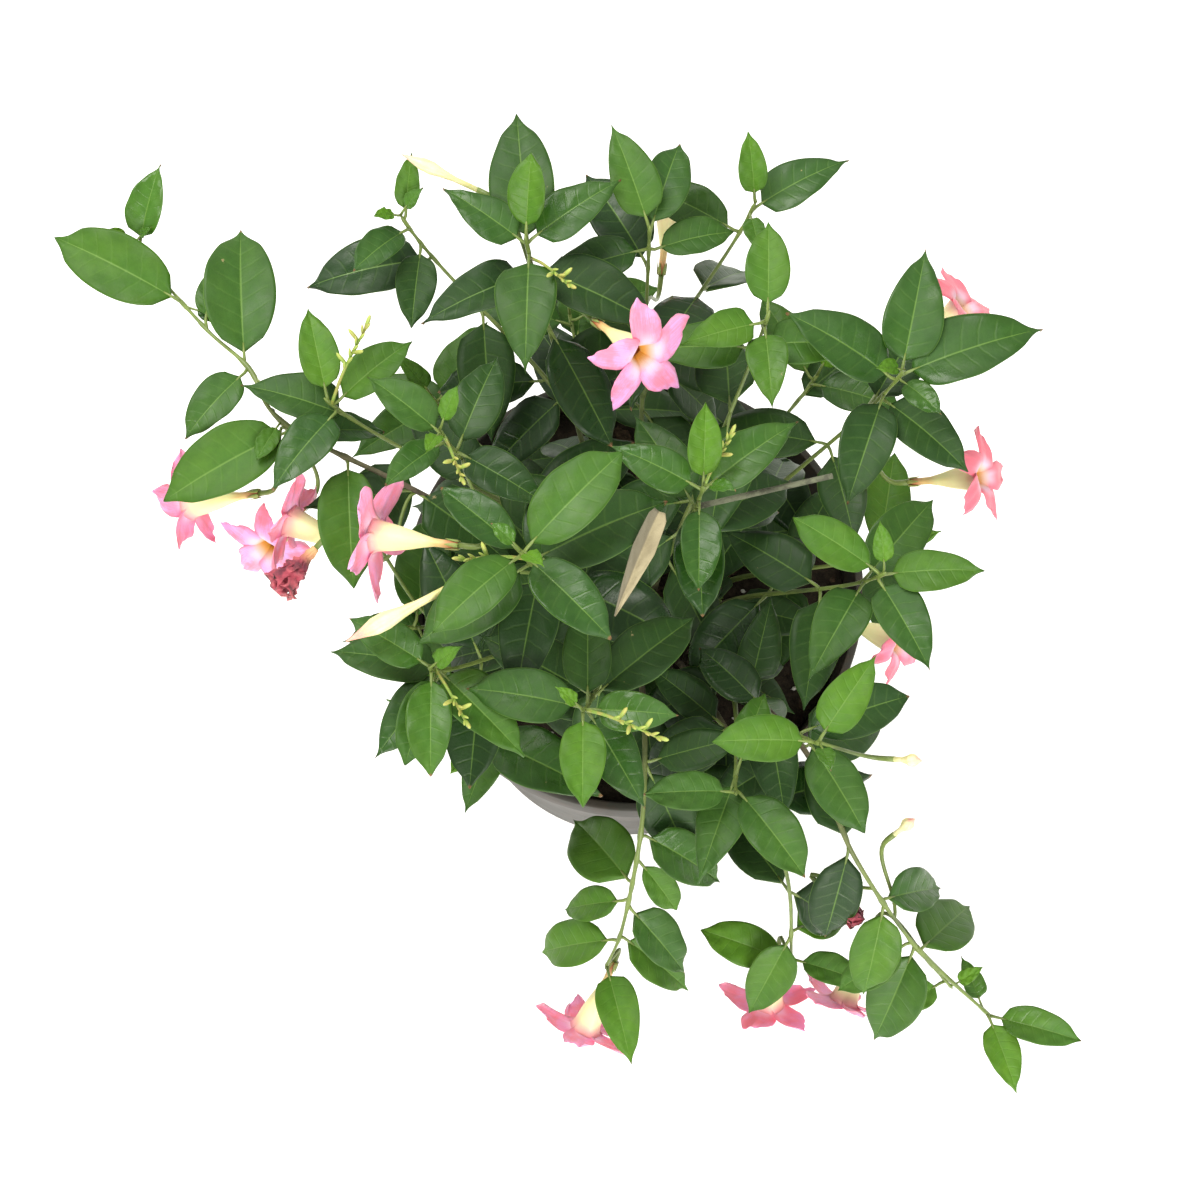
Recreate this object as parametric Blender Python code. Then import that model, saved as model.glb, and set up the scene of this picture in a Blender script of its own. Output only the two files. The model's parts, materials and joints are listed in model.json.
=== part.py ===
"""A pink-flowered mandevilla in its round nursery pot, at its real size.

The origin is the middle of the pot's foot, +Z is up, and the plant leans and trails towards -Y.
Sizes are written in millimetres and turned into metres where a mesh is made.
"""

import math
import random

import bpy
from mathutils import Matrix, Vector
from mathutils.bvhtree import BVHTree

MM = 0.001
GAP = 0.3

# The pot and what fills it
POT_HEIGHT = 210.0
POT_FOOT_RADIUS = 112.0
POT_RIM_RADIUS = 141.0
POT_BAND_DEPTH = 24.0
BAND_STEP = 4.0
RIM_WIDTH = 5.0
POT_WALL = 2.6
POT_SIDES = 28
DRAIN_HOLES = 6
DRAIN_RADIUS = 5.0
DRAIN_CIRCLE = 80.0
SOIL_TOP = 188.0

# Stems
CANE_RADIUS = 2.7
SHOOT_RADIUS = 1.9
TIP_RADIUS = 1.2
PEDICEL_RADIUS = 1.1
PEDICEL_SWELL = 0.7
PEDICEL_NECK = 6.0
PEDICEL_STEP = 16.0
STEM_SIDES = 4
STEM_STEP = 32.0
HOLE_DEPTH = 26.0
UPRIGHT_START = 14.0
HEAD_LIFT = 0.8
FOOT_SHARE = 0.36

# Leaves
LEAF_THICKNESS = 1.3
LEAF_WIDTH_SHARE = 0.54
LEAF_STEP = 4.0
PETIOLE_LENGTH = 7.0
PETIOLE_RADIUS = 0.8
SHOWN_ARCH = 1.06
LONGEST_ARCH = 1.16
INTERNODE = 58.0
CLEARANCE = 0.45
LOWEST_LEAF_NODE = 212.0

# Blooms
TUBE_LENGTH = 50.0
BLOOM_RADIUS = 31.0
MOUTH_RADIUS = 7.8
PETAL_THICKNESS = 0.9

POT_GREY = (0.13, 0.13, 0.12)
SOIL_BROWN = (0.045, 0.03, 0.02)
LEAF_GREEN = (0.09, 0.22, 0.04)
PETAL_PINK = (0.83, 0.16, 0.27)
FADED_MAROON = (0.3, 0.03, 0.05)
BUD_CREAM = (0.8, 0.66, 0.35)
DRY_TAN = (0.62, 0.48, 0.26)

# Each cane and its shoots, in millimetres. The first shoot rises from the soil and the others leave it at a
# share of its length. A route lists the points on the way to the shoot's head, which comes last. Leaves that
# show are (distance below the head, bearing in degrees from +X, length). Where a trailing shoot hangs, droop
# is the pitch of its lower leaves.
CANES = {
    "cane_crest": [
        dict(
            route=[(-61, 124, 430)],
            leaves=[
                (2, 84, 34), (6, 33, 51), (8, 146, 46), (10, 95, 68), (14, -91, 62), (26, -26, 66),
                (30, 205, 58),
            ],
        ),
        dict(
            at=0.5,
            route=[(-131, 152, 400)],
            leaves=[(0, 30, 14), (1, 210, 13), (5, 82, 27), (10, -131, 36), (22, -95, 42), (34, -168, 64)],
        ),
    ],
    "cane_top_left": [
        dict(
            route=[(-105, 16, 420)],
            leaves=[(1, 60, 18), (3, 250, 16), (10, 142, 44), (14, -136, 36), (28, -40, 50), (30, 70, 52)],
        ),
        dict(
            at=0.55,
            route=[(-170, 46, 392)],
            leaves=[(3, 103, 43), (8, 40, 46), (12, 235, 50), (22, 165, 54)],
        ),
    ],
    "cane_left_arm": [
        dict(
            route=[(-112, 4, 345), (-192, 38, 372), (-215, 72, 374), (-243, 100, 370), (-286, 155, 362)],
            leaves=[
                (0, 170, 9), (1, 20, 9), (5, 73, 37), (12, 250, 14), (50, 153, 72), (54, -20, 20),
                (74, 85, 30), (108, 95, 76), (112, -130, 44), (118, -35, 26), (156, -150, 70), (148, -114, 22),
                (160, 10, 40), (190, -86, 64),
            ],
        ),
    ],
    "cane_left_side": [
        dict(
            route=[(-134, -46, 272)],
            leaves=[(2, 200, 28), (8, 84, 66), (10, -70, 48), (22, 190, 46), (26, 60, 64)],
        ),
    ],
    "cane_centre": [
        dict(
            route=[(-61, -58, 440)],
            leaves=[
                (0, 150, 15), (1, -50, 17), (6, 45, 62), (8, -135, 54), (12, -46, 54), (14, 140, 48),
                (28, 26, 70), (32, -144, 62), (56, -100, 62), (60, 80, 56),
            ],
        ),
    ],
    "cane_centre_right": [
        dict(
            route=[(33, -15, 420)],
            leaves=[
                (1, -31, 16), (4, 89, 34), (8, 155, 44), (10, 36, 54), (22, -91, 42), (36, -87, 52),
                (38, 120, 55),
            ],
        ),
        dict(
            at=0.5,
            route=[(70, 87, 415)],
            leaves=[(4, 89, 43), (8, -161, 40), (10, -87, 42), (24, 0, 50), (26, 180, 52)],
        ),
    ],
    "cane_back": [
        dict(
            route=[(6, 135, 420)],
            leaves=[(3, 110, 52), (6, 73, 48), (18, 195, 54), (20, 15, 40), (32, 120, 60)],
        ),
        dict(
            at=0.55,
            route=[(65, 160, 400)],
            leaves=[(1, 100, 30), (6, 26, 52), (8, -83, 22), (22, 150, 52)],
        ),
    ],
    "cane_back_low": [
        dict(route=[(-40, 158, 268)], leaves=[(2, 100, 26), (8, 20, 50), (10, 170, 54), (24, 85, 52)]),
    ],
    "cane_back_left": [
        dict(route=[(-124, 104, 264)], leaves=[(2, 140, 26), (8, 60, 50), (10, 215, 54), (24, 150, 54)]),
    ],
    "cane_back_right": [
        dict(route=[(112, 118, 266)], leaves=[(2, 50, 28), (8, 120, 50), (10, -20, 50), (24, 40, 54)]),
    ],
    "cane_right": [
        dict(
            route=[(143, 59, 400)],
            leaves=[
                (1, 200, 16), (4, 78, 60), (6, 16, 70), (9, -52, 26), (12, 155, 62), (26, -109, 58),
                (30, -42, 54), (40, 60, 58),
            ],
        ),
    ],
    "cane_right_side": [
        dict(route=[(150, 2, 264)], leaves=[(2, 10, 28), (8, 80, 54), (10, -80, 54), (24, -10, 50)]),
    ],
    "cane_right_front": [
        dict(
            route=[(130, -52, 388)],
            leaves=[(2, 100, 20), (6, 148, 46), (8, 0, 46), (12, -64, 50), (26, -120, 54), (28, 50, 54)],
        ),
    ],
    "cane_front_left": [
        dict(
            route=[(-110, -105, 388)],
            leaves=[
                (1, 20, 18), (4, -89, 48), (6, 150, 42), (12, -46, 58), (14, -107, 46), (28, -128, 52),
                (30, 170, 56),
            ],
        ),
    ],
    "cane_front_left_low": [
        dict(route=[(-92, -114, 264)], leaves=[(2, -120, 26), (8, -28, 68), (10, 160, 52), (24, -110, 46)]),
    ],
    "cane_front": [
        dict(
            route=[(-30, -131, 402)],
            leaves=[
                (0, 150, 14), (4, -90, 44), (6, -6, 40), (18, 170, 54), (22, -60, 52), (34, 90, 54),
                (58, 40, 62), (62, 150, 62),
            ],
        ),
    ],
    "cane_front_right": [
        dict(
            route=[(94, -141, 372)],
            leaves=[(1, -80, 18), (4, 55, 46), (7, -178, 46), (18, -175, 38), (22, -60, 50), (34, 20, 56)],
        ),
        dict(
            at=0.5,
            route=[(52, -160, 335)],
            leaves=[(3, -176, 42), (6, -55, 52), (20, -110, 54), (22, 70, 40)],
        ),
    ],
    "cane_trailing_right": [
        dict(
            route=[(88, -120, 300), (118, -186, 300), (151, -220, 250), (186, -243, 190)],
            droop=-50,
            leaves=[
                (2, 30, 16), (12, -148, 30), (52, 42, 60), (58, -112, 58), (64, -148, 40), (104, -100, 50),
                (108, 20, 48),
            ],
        ),
        dict(
            at=0.86,
            route=[(214, -256, 158)],
            droop=-35,
            leaves=[(3, -17, 46), (6, -73, 40), (12, 110, 26)],
        ),
    ],
    "cane_trailing_middle": [
        dict(
            route=[(60, -128, 285), (84, -188, 262), (93, -228, 178)],
            droop=-50,
            leaves=[(4, 161, 48), (8, -20, 36), (34, -120, 50), (38, 30, 46)],
        ),
    ],
    "cane_trailing_front": [
        dict(
            route=[(4, -110, 290), (2, -168, 296), (-8, -215, 244), (-18, -234, 208)],
            droop=-45,
            leaves=[
                (3, -76, 50), (30, -178, 46), (34, -33, 50), (58, -44, 48), (62, 180, 36), (74, 125, 62),
                (92, -47, 32), (108, -23, 52),
            ],
        ),
    ],
}

# Each bloom: the cane and shoot that bear it, the distance below that shoot's head where its pedicel leaves,
# the middle of its throat, the way it faces, its span as a share of a full one, and its turn.
BLOOMS = [
    ("bloom_star", "cane_crest", 0, 34, (4, 52, 430), (0.56, -0.67, 0.49), 1.05, 62),
    ("bloom_left_facing", "cane_top_left", 0, 40, (-141, -38, 408), (-0.94, 0.21, -0.26), 1.12, 30),
    ("bloom_left_outer", "cane_left_arm", 0, 150, (-253, 7, 334), (-0.89, 0.05, -0.45), 0.95, 0),
    ("bloom_left_lower", "cane_left_arm", 0, 140, (-213, -14, 310), (-0.41, -0.77, 0.49), 0.95, 20),
    ("bloom_left_inner", "cane_left_arm", 0, 232, (-194, -9, 352), (-0.91, 0.42, -0.03), 0.95, 50),
    ("bloom_right_back", "cane_right", 0, 52, (186, 116, 366), (0.62, 0.4, 0.68), 0.95, 40),
    ("bloom_right", "cane_right", 0, 62, (197, 22, 338), (0.8, -0.15, 0.58), 0.9, 5),
    ("bloom_right_front", "cane_right_front", 0, 50, (150, -70, 312), (0.75, -0.5, 0.43), 0.85, 60),
    ("bloom_hanging", "cane_trailing_front", 0, 6, (-31, -266, 166), (-0.37, -0.77, -0.52), 1.0, 15),
    ("bloom_middle", "cane_trailing_middle", 0, 5, (82, -246, 132), (-0.08, -0.62, -0.78), 1.0, 35),
    ("bloom_front_right", "cane_trailing_right", 0, 30, (125, -248, 150), (-0.35, -0.85, -0.4), 0.95, 55),
    ("bloom_back", "cane_back", 0, 60, (20, 196, 350), (0.1, 0.8, 0.6), 0.95, 25),
]

# Old blooms and buds that stay in bud: name, cane, shoot, distance, base, way, length, widest radius
FADED_BLOOMS = [
    ("faded_bloom_left", "cane_left_side", 0, 30, (-175, -30, 364), (-0.67, -0.73, -0.13), 32, 6.0),
    ("faded_bloom_right", "cane_trailing_right", 0, 118, (104, -196, 262), (0.5, -0.5, 0.1), 30, 3.4),
]
BUDS = [
    ("bud_back_left", "cane_crest", 0, 40, (-88, 161, 412), (-0.9, 0.34, 0.25), 46, 3.8),
    ("bud_left", "cane_centre", 0, 66, (-99, -67, 408), (-0.88, -0.47, -0.06), 60, 5.0),
    ("bud_front_right", "cane_front_right", 0, 12, (137, -141, 338), (0.7, -0.2, 0.6), 18, 3.6),
    ("bud_trailing_right", "cane_trailing_right", 0, 88, (142, -172, 290), (0.5, 0.3, 0.7), 18, 3.6),
]

# Sprays of small green buds: cane, shoot, distance below the head, bearing, length, number of buds
SPRAYS = [
    ("cane_top_left", 1, 6, 62, 44, 4),
    ("cane_top_left", 0, 8, -70, 34, 3),
    ("cane_centre", 0, 20, 190, 34, 3),
    ("cane_crest", 0, 18, -48, 34, 3),
    ("cane_front", 0, 8, -28, 46, 4),
    ("cane_front_left", 0, 10, -62, 40, 3),
    ("cane_centre_right", 0, 8, 60, 30, 3),
]

# The grey stub of a cane cut back long ago, and the dry leaf that fell on the foliage
STUB = dict(cane="cane_centre_right", at=0.86, end=(101, -6, 410))
DRY_LEAF = dict(base=(-16, -89, 436), tip=(10, -27, 440), width=17.0)


def clear_scene():
    for obj in list(bpy.data.objects):
        bpy.data.objects.remove(obj, do_unlink=True)


def material(name, colour, roughness):
    made = bpy.data.materials.new(name)
    made.use_nodes = True
    shader = made.node_tree.nodes["Principled BSDF"]
    shader.inputs["Base Color"].default_value = (*colour, 1.0)
    shader.inputs["Roughness"].default_value = roughness
    return made


def solid(name, points, faces, finish):
    """An object from points in millimetres."""
    mesh = bpy.data.meshes.new(name)
    mesh.from_pydata([Vector(p) * MM for p in points], [], faces)
    mesh.materials.append(finish)
    obj = bpy.data.objects.new(name, mesh)
    bpy.context.scene.collection.objects.link(obj)
    return obj


def apply_modifier(obj, modifier):
    bpy.context.view_layer.objects.active = obj
    bpy.ops.object.modifier_apply(modifier=modifier.name)


def turned(profile, sides):
    """A closed solid turned round Z, with flat ends: its profile is (radius, height) from below to above."""
    points = []
    for radius, height in profile:
        for k in range(sides):
            angle = math.tau * k / sides
            points.append((radius * math.cos(angle), radius * math.sin(angle), height))
    faces = [tuple(reversed(range(sides))), tuple(range(len(points) - sides, len(points)))]
    for low in range(0, len(points) - sides, sides):
        for k in range(sides):
            near, far = low + k, low + (k + 1) % sides
            faces.append((near, far, far + sides, near + sides))
    return points, faces


def make_pot():
    """A tapering round pot with a plain band round its rim and drain holes in its floor."""
    band_low = POT_HEIGHT - POT_BAND_DEPTH
    under_band = pot_inside(band_low) + POT_WALL
    profile = [
        (POT_FOOT_RADIUS - 2, 0),
        (POT_FOOT_RADIUS, 2),
        (under_band, band_low),
        (POT_RIM_RADIUS - 1, band_low),
        (POT_RIM_RADIUS, POT_HEIGHT - 2),
        (POT_RIM_RADIUS - 1.5, POT_HEIGHT),
        (POT_RIM_RADIUS - RIM_WIDTH, POT_HEIGHT),
        (pot_inside(band_low), band_low),
        (pot_inside(POT_WALL), POT_WALL),
    ]
    pot = solid("pot", *turned(profile, POT_SIDES), material("pot_plastic", POT_GREY, 0.55))
    drills = bpy.data.collections.new("drills")
    bpy.context.scene.collection.children.link(drills)
    for k in range(DRAIN_HOLES):
        angle = math.tau * (k + 0.5) / DRAIN_HOLES
        centre = (DRAIN_CIRCLE * math.cos(angle), DRAIN_CIRCLE * math.sin(angle))
        drill(drills, centre, -5, POT_WALL + 5, DRAIN_RADIUS, 6)
    cut(pot, drills)
    return pot


def pot_inside(height):
    """The radius of the pot's inner wall at a height."""
    slope = (POT_RIM_RADIUS - BAND_STEP - POT_FOOT_RADIUS) / POT_HEIGHT
    return POT_FOOT_RADIUS + slope * height - POT_WALL


def drill(collection, centre, low, high, radius, sides):
    points, faces = turned([(radius, low), (radius, high)], sides)
    points = [(x + centre[0], y + centre[1], z) for x, y, z in points]
    mesh = bpy.data.meshes.new("drill")
    mesh.from_pydata([Vector(p) * MM for p in points], [], faces)
    obj = bpy.data.objects.new("drill", mesh)
    obj.hide_render = True
    collection.objects.link(obj)


def cut(obj, collection):
    """Cuts the collection's solids out of the object and removes them."""
    modifier = obj.modifiers.new("holes", "BOOLEAN")
    modifier.operation = "DIFFERENCE"
    modifier.operand_type = "COLLECTION"
    modifier.collection = collection
    apply_modifier(obj, modifier)
    for used in list(collection.objects):
        bpy.data.objects.remove(used, do_unlink=True)
    bpy.data.collections.remove(collection)


def make_soil(feet):
    """The soil fills the pot to below its rim, with a plain hole round each cane."""
    low = POT_WALL + GAP
    rim = pot_inside(SOIL_TOP) - 0.6
    profile = [(pot_inside(low) - 0.6, low), (rim, SOIL_TOP - 2), (rim - 6, SOIL_TOP)]
    points, faces = turned(profile, POT_SIDES)
    soil = solid("soil", points, faces, material("potting_soil", SOIL_BROWN, 0.95))
    drills = bpy.data.collections.new("drills")
    bpy.context.scene.collection.children.link(drills)
    for x, y in feet:
        drill(drills, (x, y), SOIL_TOP - HOLE_DEPTH - GAP, SOIL_TOP + 20, CANE_RADIUS + 1.0, 5)
    cut(soil, drills)
    return soil


def smooth_route(knots, start_way, end_way, step):
    """Points on a smooth curve through the knots."""
    knots = [Vector(k) for k in knots]
    ways = []
    for i in range(len(knots)):
        if i == 0:
            ways.append(start_way.normalized() * (knots[1] - knots[0]).length)
        elif i == len(knots) - 1:
            ways.append(end_way.normalized() * (knots[-1] - knots[-2]).length)
        else:
            ways.append((knots[i + 1] - knots[i - 1]) / 2)
    points = [knots[0]]
    for i in range(len(knots) - 1):
        count = max(2, round((knots[i + 1] - knots[i]).length * 1.1 / step))
        for j in range(1, count + 1):
            t = j / count
            points.append(
                knots[i] * (2 * t**3 - 3 * t**2 + 1)
                + ways[i] * (t**3 - 2 * t**2 + t)
                + knots[i + 1] * (3 * t**2 - 2 * t**3)
                + ways[i + 1] * (t**3 - t**2)
            )
    return points


def along(points, distance):
    """The point and the way at a distance from the start of a line of points."""
    for a, b in zip(points, points[1:]):
        span = (b - a).length
        if distance <= span:
            return a + (b - a) * max(0.0, distance / span), (b - a).normalized()
        distance -= span
    return points[-1].copy(), (points[-1] - points[-2]).normalized()


def line_length(points):
    return sum((b - a).length for a, b in zip(points, points[1:]))


def tube(points, radius_at, sides):
    """A tube with flat ends along the points; radius_at takes the share of the way."""
    way = (points[1] - points[0]).normalized()
    side = way.orthogonal().normalized()
    rings = []
    for i, point in enumerate(points):
        ahead = points[min(i + 1, len(points) - 1)]
        behind = points[max(i - 1, 0)]
        way = (ahead - behind).normalized()
        side = (side - way * side.dot(way)).normalized()
        other = way.cross(side)
        radius = radius_at(i / (len(points) - 1))
        for k in range(sides):
            angle = math.tau * (k + 0.5) / sides
            rings.append(point + (side * math.cos(angle) + other * math.sin(angle)) * radius)
    faces = [tuple(reversed(range(sides))), tuple(range(len(rings) - sides, len(rings)))]
    for i in range(len(points) - 1):
        for k in range(sides):
            a, b = i * sides + k, i * sides + (k + 1) % sides
            faces.append((a, b, b + sides, a + sides))
    return rings, faces


def bearing_way(bearing, pitch):
    """The unit vector with this bearing from +X and this pitch above the level."""
    bearing, pitch = math.radians(bearing), math.radians(pitch)
    level = math.cos(pitch)
    return Vector((math.cos(bearing) * level, math.sin(bearing) * level, math.sin(pitch)))


def leaf_line(leaf, shares):
    """Points along a midrib that arches over, each with the way across the leaf and its normal there."""
    stops, point, travelled = [], leaf["root"], 0.0
    whole, turn = PETIOLE_LENGTH + leaf["length"], math.radians(leaf["roll"])
    for share in shares:
        reach = share * whole
        while travelled < reach - 1e-6:
            ahead = min(LEAF_STEP, reach - travelled)
            middle = (travelled + ahead / 2) / whole
            pitch = leaf["pitch"] + leaf["bend"] * (0.5 - middle)
            point = point + bearing_way(leaf["bearing"], pitch) * ahead
            travelled += ahead
        angle = leaf["pitch"] + leaf["bend"] * (0.5 - share)
        normal = bearing_way(leaf["bearing"], angle + 90)
        across = normal.cross(bearing_way(leaf["bearing"], angle))
        side = across * math.cos(turn) + normal * math.sin(turn)
        stops.append((point, side, normal * math.cos(turn) - across * math.sin(turn)))
    return stops


# A blade's outline, as (share of its length, share of its half width), and its section, as (share of the half
# width, share of the fold's lift, share of the thickness): a lens for leaves that show, a keel for the rest.
BROAD = ((0.16, 0.84), (0.42, 1.0), (0.74, 0.62))
PLAIN = ((0.27, 0.98), (0.66, 0.76))
LENS = ((1, 1, 0), (0, 0, 0.5), (-1, 1, 0), (0, 0, -0.5))
KEEL = ((1, 1, 0), (-1, 1, 0), (0, 0, -0.5))


def leaf_mesh(leaf, grow=0.0, blade_only=False):
    """A leaf folded a little along its midrib: a straight stalk that swells into a blade, then the tip."""
    whole = PETIOLE_LENGTH + leaf["length"]
    stalk = PETIOLE_LENGTH / whole
    outline, section = (BROAD, LENS) if leaf["broad"] else (PLAIN, KEEL)
    sides = len(section)
    shares = [0.0, stalk] + [stalk + (1 - stalk) * share for share, _ in outline] + [1.0]
    widths = [PETIOLE_RADIUS, PETIOLE_RADIUS] + [leaf["width"] / 2 * wide for _, wide in outline]
    stops = leaf_line(leaf, shares)
    points = []
    for i, width in enumerate(widths):
        point, (_, across, normal) = stops[i][0], stops[max(i, 1)]
        fold = math.radians(leaf["fold"]) if i > 1 else 0.0
        half = width + grow
        for wide, lifted, deep in section:
            lift = half * math.sin(fold) * lifted + (LEAF_THICKNESS + 2 * grow) * deep
            points.append(point + across * half * wide * math.cos(fold) + normal * lift)
    points.append(stops[-1][0])
    first = 1 if blade_only else 0
    faces = [tuple(reversed(range(first * sides, (first + 1) * sides)))]
    for i in range(first, len(widths) - 1):
        for k in range(sides):
            low, high = i * sides + k, i * sides + (k + 1) % sides
            if i == 0:
                faces.append((low, high, high + sides, low + sides))
            elif k % 2 == 0:
                # The edge columns are even, so both faces of the blade are split along like diagonals.
                faces += [(low, high, high + sides), (low, high + sides, low + sides)]
            else:
                faces += [(low, high, low + sides), (high, high + sides, low + sides)]
    low, tip = (len(widths) - 1) * sides, len(points) - 1
    faces += [(low + k, low + (k + 1) % sides, tip) for k in range(sides)]
    return points, faces


class Crowd:
    """The pieces placed so far, kept so that nothing new is put through them."""

    def __init__(self):
        self.items = []

    def add(self, owner, points, faces):
        low = [min(p[k] for p in points) for k in range(3)]
        high = [max(p[k] for p in points) for k in range(3)]
        self.items.append((owner, low, high, BVHTree.FromPolygons(points, faces)))

    def hits(self, points, faces, passes=lambda owner: True):
        """The owners of the pieces that this mesh would cross."""
        low = [min(p[k] for p in points) for k in range(3)]
        high = [max(p[k] for p in points) for k in range(3)]
        tree, found = None, []
        for owner, its_low, its_high, its_tree in self.items:
            if any(its_low[k] > high[k] or its_high[k] < low[k] for k in range(3)) or not passes(owner):
                continue
            tree = tree or BVHTree.FromPolygons(points, faces)
            if tree.overlap(its_tree):
                found.append(owner)
        return found


def facing_frame(facing, turn=0.0):
    """The turn from +Z to the way that a bloom or a bud faces."""
    facing = Vector(facing).normalized()
    across = facing.cross(Vector((0, 0, 1))).normalized()
    frame = Matrix((across, facing.cross(across), facing)).transposed()
    return frame @ Matrix.Rotation(math.radians(turn), 3, "Z")


# One fifth of a bloom's limb, as (share of the fifth, share of the full radius, lift): a notch, then a lobe
LOBE = ((0.0, 0.4, 0.0), (0.2, 0.86, 1.6), (0.7, 1.0, -1.2))

# The funnel's outer and inner walls, as (radius, height above its base), and where its hollow ends
FUNNEL = ((1.9, 0.0), (2.1, 13.0), (5.4, 27.0), (MOUTH_RADIUS, 43.0))
HOLLOW = ((MOUTH_RADIUS - 1, 43.0), (4.3, 28.0))
HOLLOW_END = 17.0
LIMB_DROP = 2.0
LIMB_CURL = 3.0


def bloom_mesh(throat, facing, span, turn):
    """A funnel with a hollow throat and five lobes set like a pinwheel, one closed skin."""
    lobe = len(LOBE)
    columns = 5 * lobe

    def even(radius, height):
        return [(radius, height)] * columns

    def limb(reach, lift):
        ring = []
        for k in range(columns):
            _, share, curl = LOBE[k % lobe]
            edge = MOUTH_RADIUS + (BLOOM_RADIUS * span * share - MOUTH_RADIUS) * reach
            height = TUBE_LENGTH - LIMB_DROP - LIMB_CURL * reach * reach * share
            ring.append((edge, height + curl * reach + lift))
        return ring

    thick = PETAL_THICKNESS / 2
    rings = [even(*ring) for ring in FUNNEL]
    rings += [limb(1.0, -thick), limb(1.0, thick), limb(0.4, thick)]
    rings += [even(*ring) for ring in HOLLOW]
    frame, middle = facing_frame(facing, turn), Vector(throat)

    def place(k, radius, height):
        angle = math.tau / 5 * (k // lobe + LOBE[k % lobe][0])
        spot = (radius * math.cos(angle), radius * math.sin(angle), height - TUBE_LENGTH)
        return middle + frame @ Vector(spot)

    points = [place(0, 0, 0)]
    points += [place(k, *spot) for ring in rings for k, spot in enumerate(ring)]
    points.append(place(0, 0, HOLLOW_END))
    return points, skin(len(rings), columns)


def skin(rings, columns):
    """The faces of a closed solid made of rings of points between a first point and a last one."""
    faces, last = [], rings * columns + 1
    for k in range(columns):
        near, far = 1 + k, 1 + (k + 1) % columns
        faces.append((0, far, near))
        for low in range(0, (rings - 1) * columns, columns):
            faces.append((near + low, far + low, far + low + columns))
            faces.append((near + low, far + low + columns, near + low + columns))
        top = (rings - 1) * columns
        faces.append((near + top, far + top, last))
    return faces


def spindle_mesh(base, way, length, radius, profile, sides, twist):
    """A closed spindle: profile is (share of the length, share of the radius), and it twists as it goes."""
    frame = facing_frame(way)
    base = Vector(base)
    points = [base.copy()]
    for share, wide in profile:
        for k in range(sides):
            angle = math.tau * k / sides + math.radians(twist) * share
            r = radius * wide
            points.append(base + frame @ Vector((r * math.cos(angle), r * math.sin(angle), length * share)))
    points.append(base + frame @ Vector((0, 0, length)))
    return points, skin(len(profile), sides)


BUD_PROFILE = ((0.0, 0.45), (0.3, 0.5), (0.62, 1.0), (0.85, 0.6))
FADED_PROFILE = ((0.0, 0.35), (0.25, 0.45), (0.5, 1.0), (0.72, 0.7), (0.9, 0.8))
SMALL_BUD_PROFILE = ((0.0, 0.35), (0.5, 1.0))
SMALL_BUD_LENGTH = 9.0
SMALL_BUD_RADIUS = 1.7


def grow_stems(crowd):
    """The line of every shoot, keyed by cane and number, with the tubes that make it."""
    lines, pieces, feet = {}, {name: [] for name in CANES}, []
    up = Vector((0, 0, 1))
    for name, shoots in CANES.items():
        for number, shoot in enumerate(shoots):
            knots = [Vector(knot) for knot in shoot["route"]]
            if number == 0:
                foot = Vector((knots[0].x * FOOT_SHARE, knots[0].y * FOOT_SHARE, SOIL_TOP - HOLE_DEPTH))
                feet.append((foot.x, foot.y))
                start, start_way, radius = foot + up * (HOLE_DEPTH + UPRIGHT_START), up, CANE_RADIUS
            else:
                main = lines[name, 0]
                start, way = along(main, line_length(main) * shoot["at"])
                start_way, radius = way + (knots[-1] - start).normalized(), SHOOT_RADIUS
            knots = [start] + knots
            end_way = (knots[-1] - knots[-2]).normalized() + up * (0.0 if "droop" in shoot else HEAD_LIFT)
            line = smooth_route(knots, start_way, end_way, STEM_STEP)
            lines[name, number] = [foot] + line if number == 0 else line
            stem = tube(lines[name, number], lambda t, r=radius: r + (TIP_RADIUS - r) * t, STEM_SIDES)
            crowd.add(name, *stem)
            pieces[name].append(stem)
    return lines, pieces, feet


def stem_point(lines, cane, number, below):
    line = lines[cane, number]
    return along(line, line_length(line) - below)


def grow_pedicel(crowd, lines, pieces, cane, number, below, base, way):
    """A thin green stalk from the shoot to just under a bloom or a bud."""
    start, stem_way = stem_point(lines, cane, number, below)
    way = Vector(way).normalized()
    end = Vector(base) - way * GAP
    neck = end - way * PEDICEL_NECK
    leave = (neck - start).normalized() + stem_way * 0.5
    line = smooth_route([start, neck], leave, way, PEDICEL_STEP) + [end]
    stalk = tube(line, lambda t: PEDICEL_RADIUS + PEDICEL_SWELL * t**3, STEM_SIDES)
    crowd.add(cane, *stalk)
    pieces[cane].append(stalk)


def grow_blooms(crowd, lines, pieces):
    """Blooms, old blooms and buds, each a solid of its own on a pedicel."""
    made = {}
    for name, cane, number, below, throat, facing, span, turn in BLOOMS:
        base = Vector(throat) - Vector(facing).normalized() * TUBE_LENGTH
        made[name] = bloom_mesh(throat, facing, span, turn)
        grow_pedicel(crowd, lines, pieces, cane, number, below, base, facing)
        crowd.add(name, *made[name])
    kinds = ((FADED_BLOOMS, FADED_PROFILE, 7, 80), (BUDS, BUD_PROFILE, 6, 70))
    for spindles, profile, sides, twist in kinds:
        for name, cane, number, below, base, way, length, radius in spindles:
            made[name] = spindle_mesh(base, way, length, radius, profile, sides, twist)
            grow_pedicel(crowd, lines, pieces, cane, number, below, base, way)
            crowd.add(name, *made[name])
    return made


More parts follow.
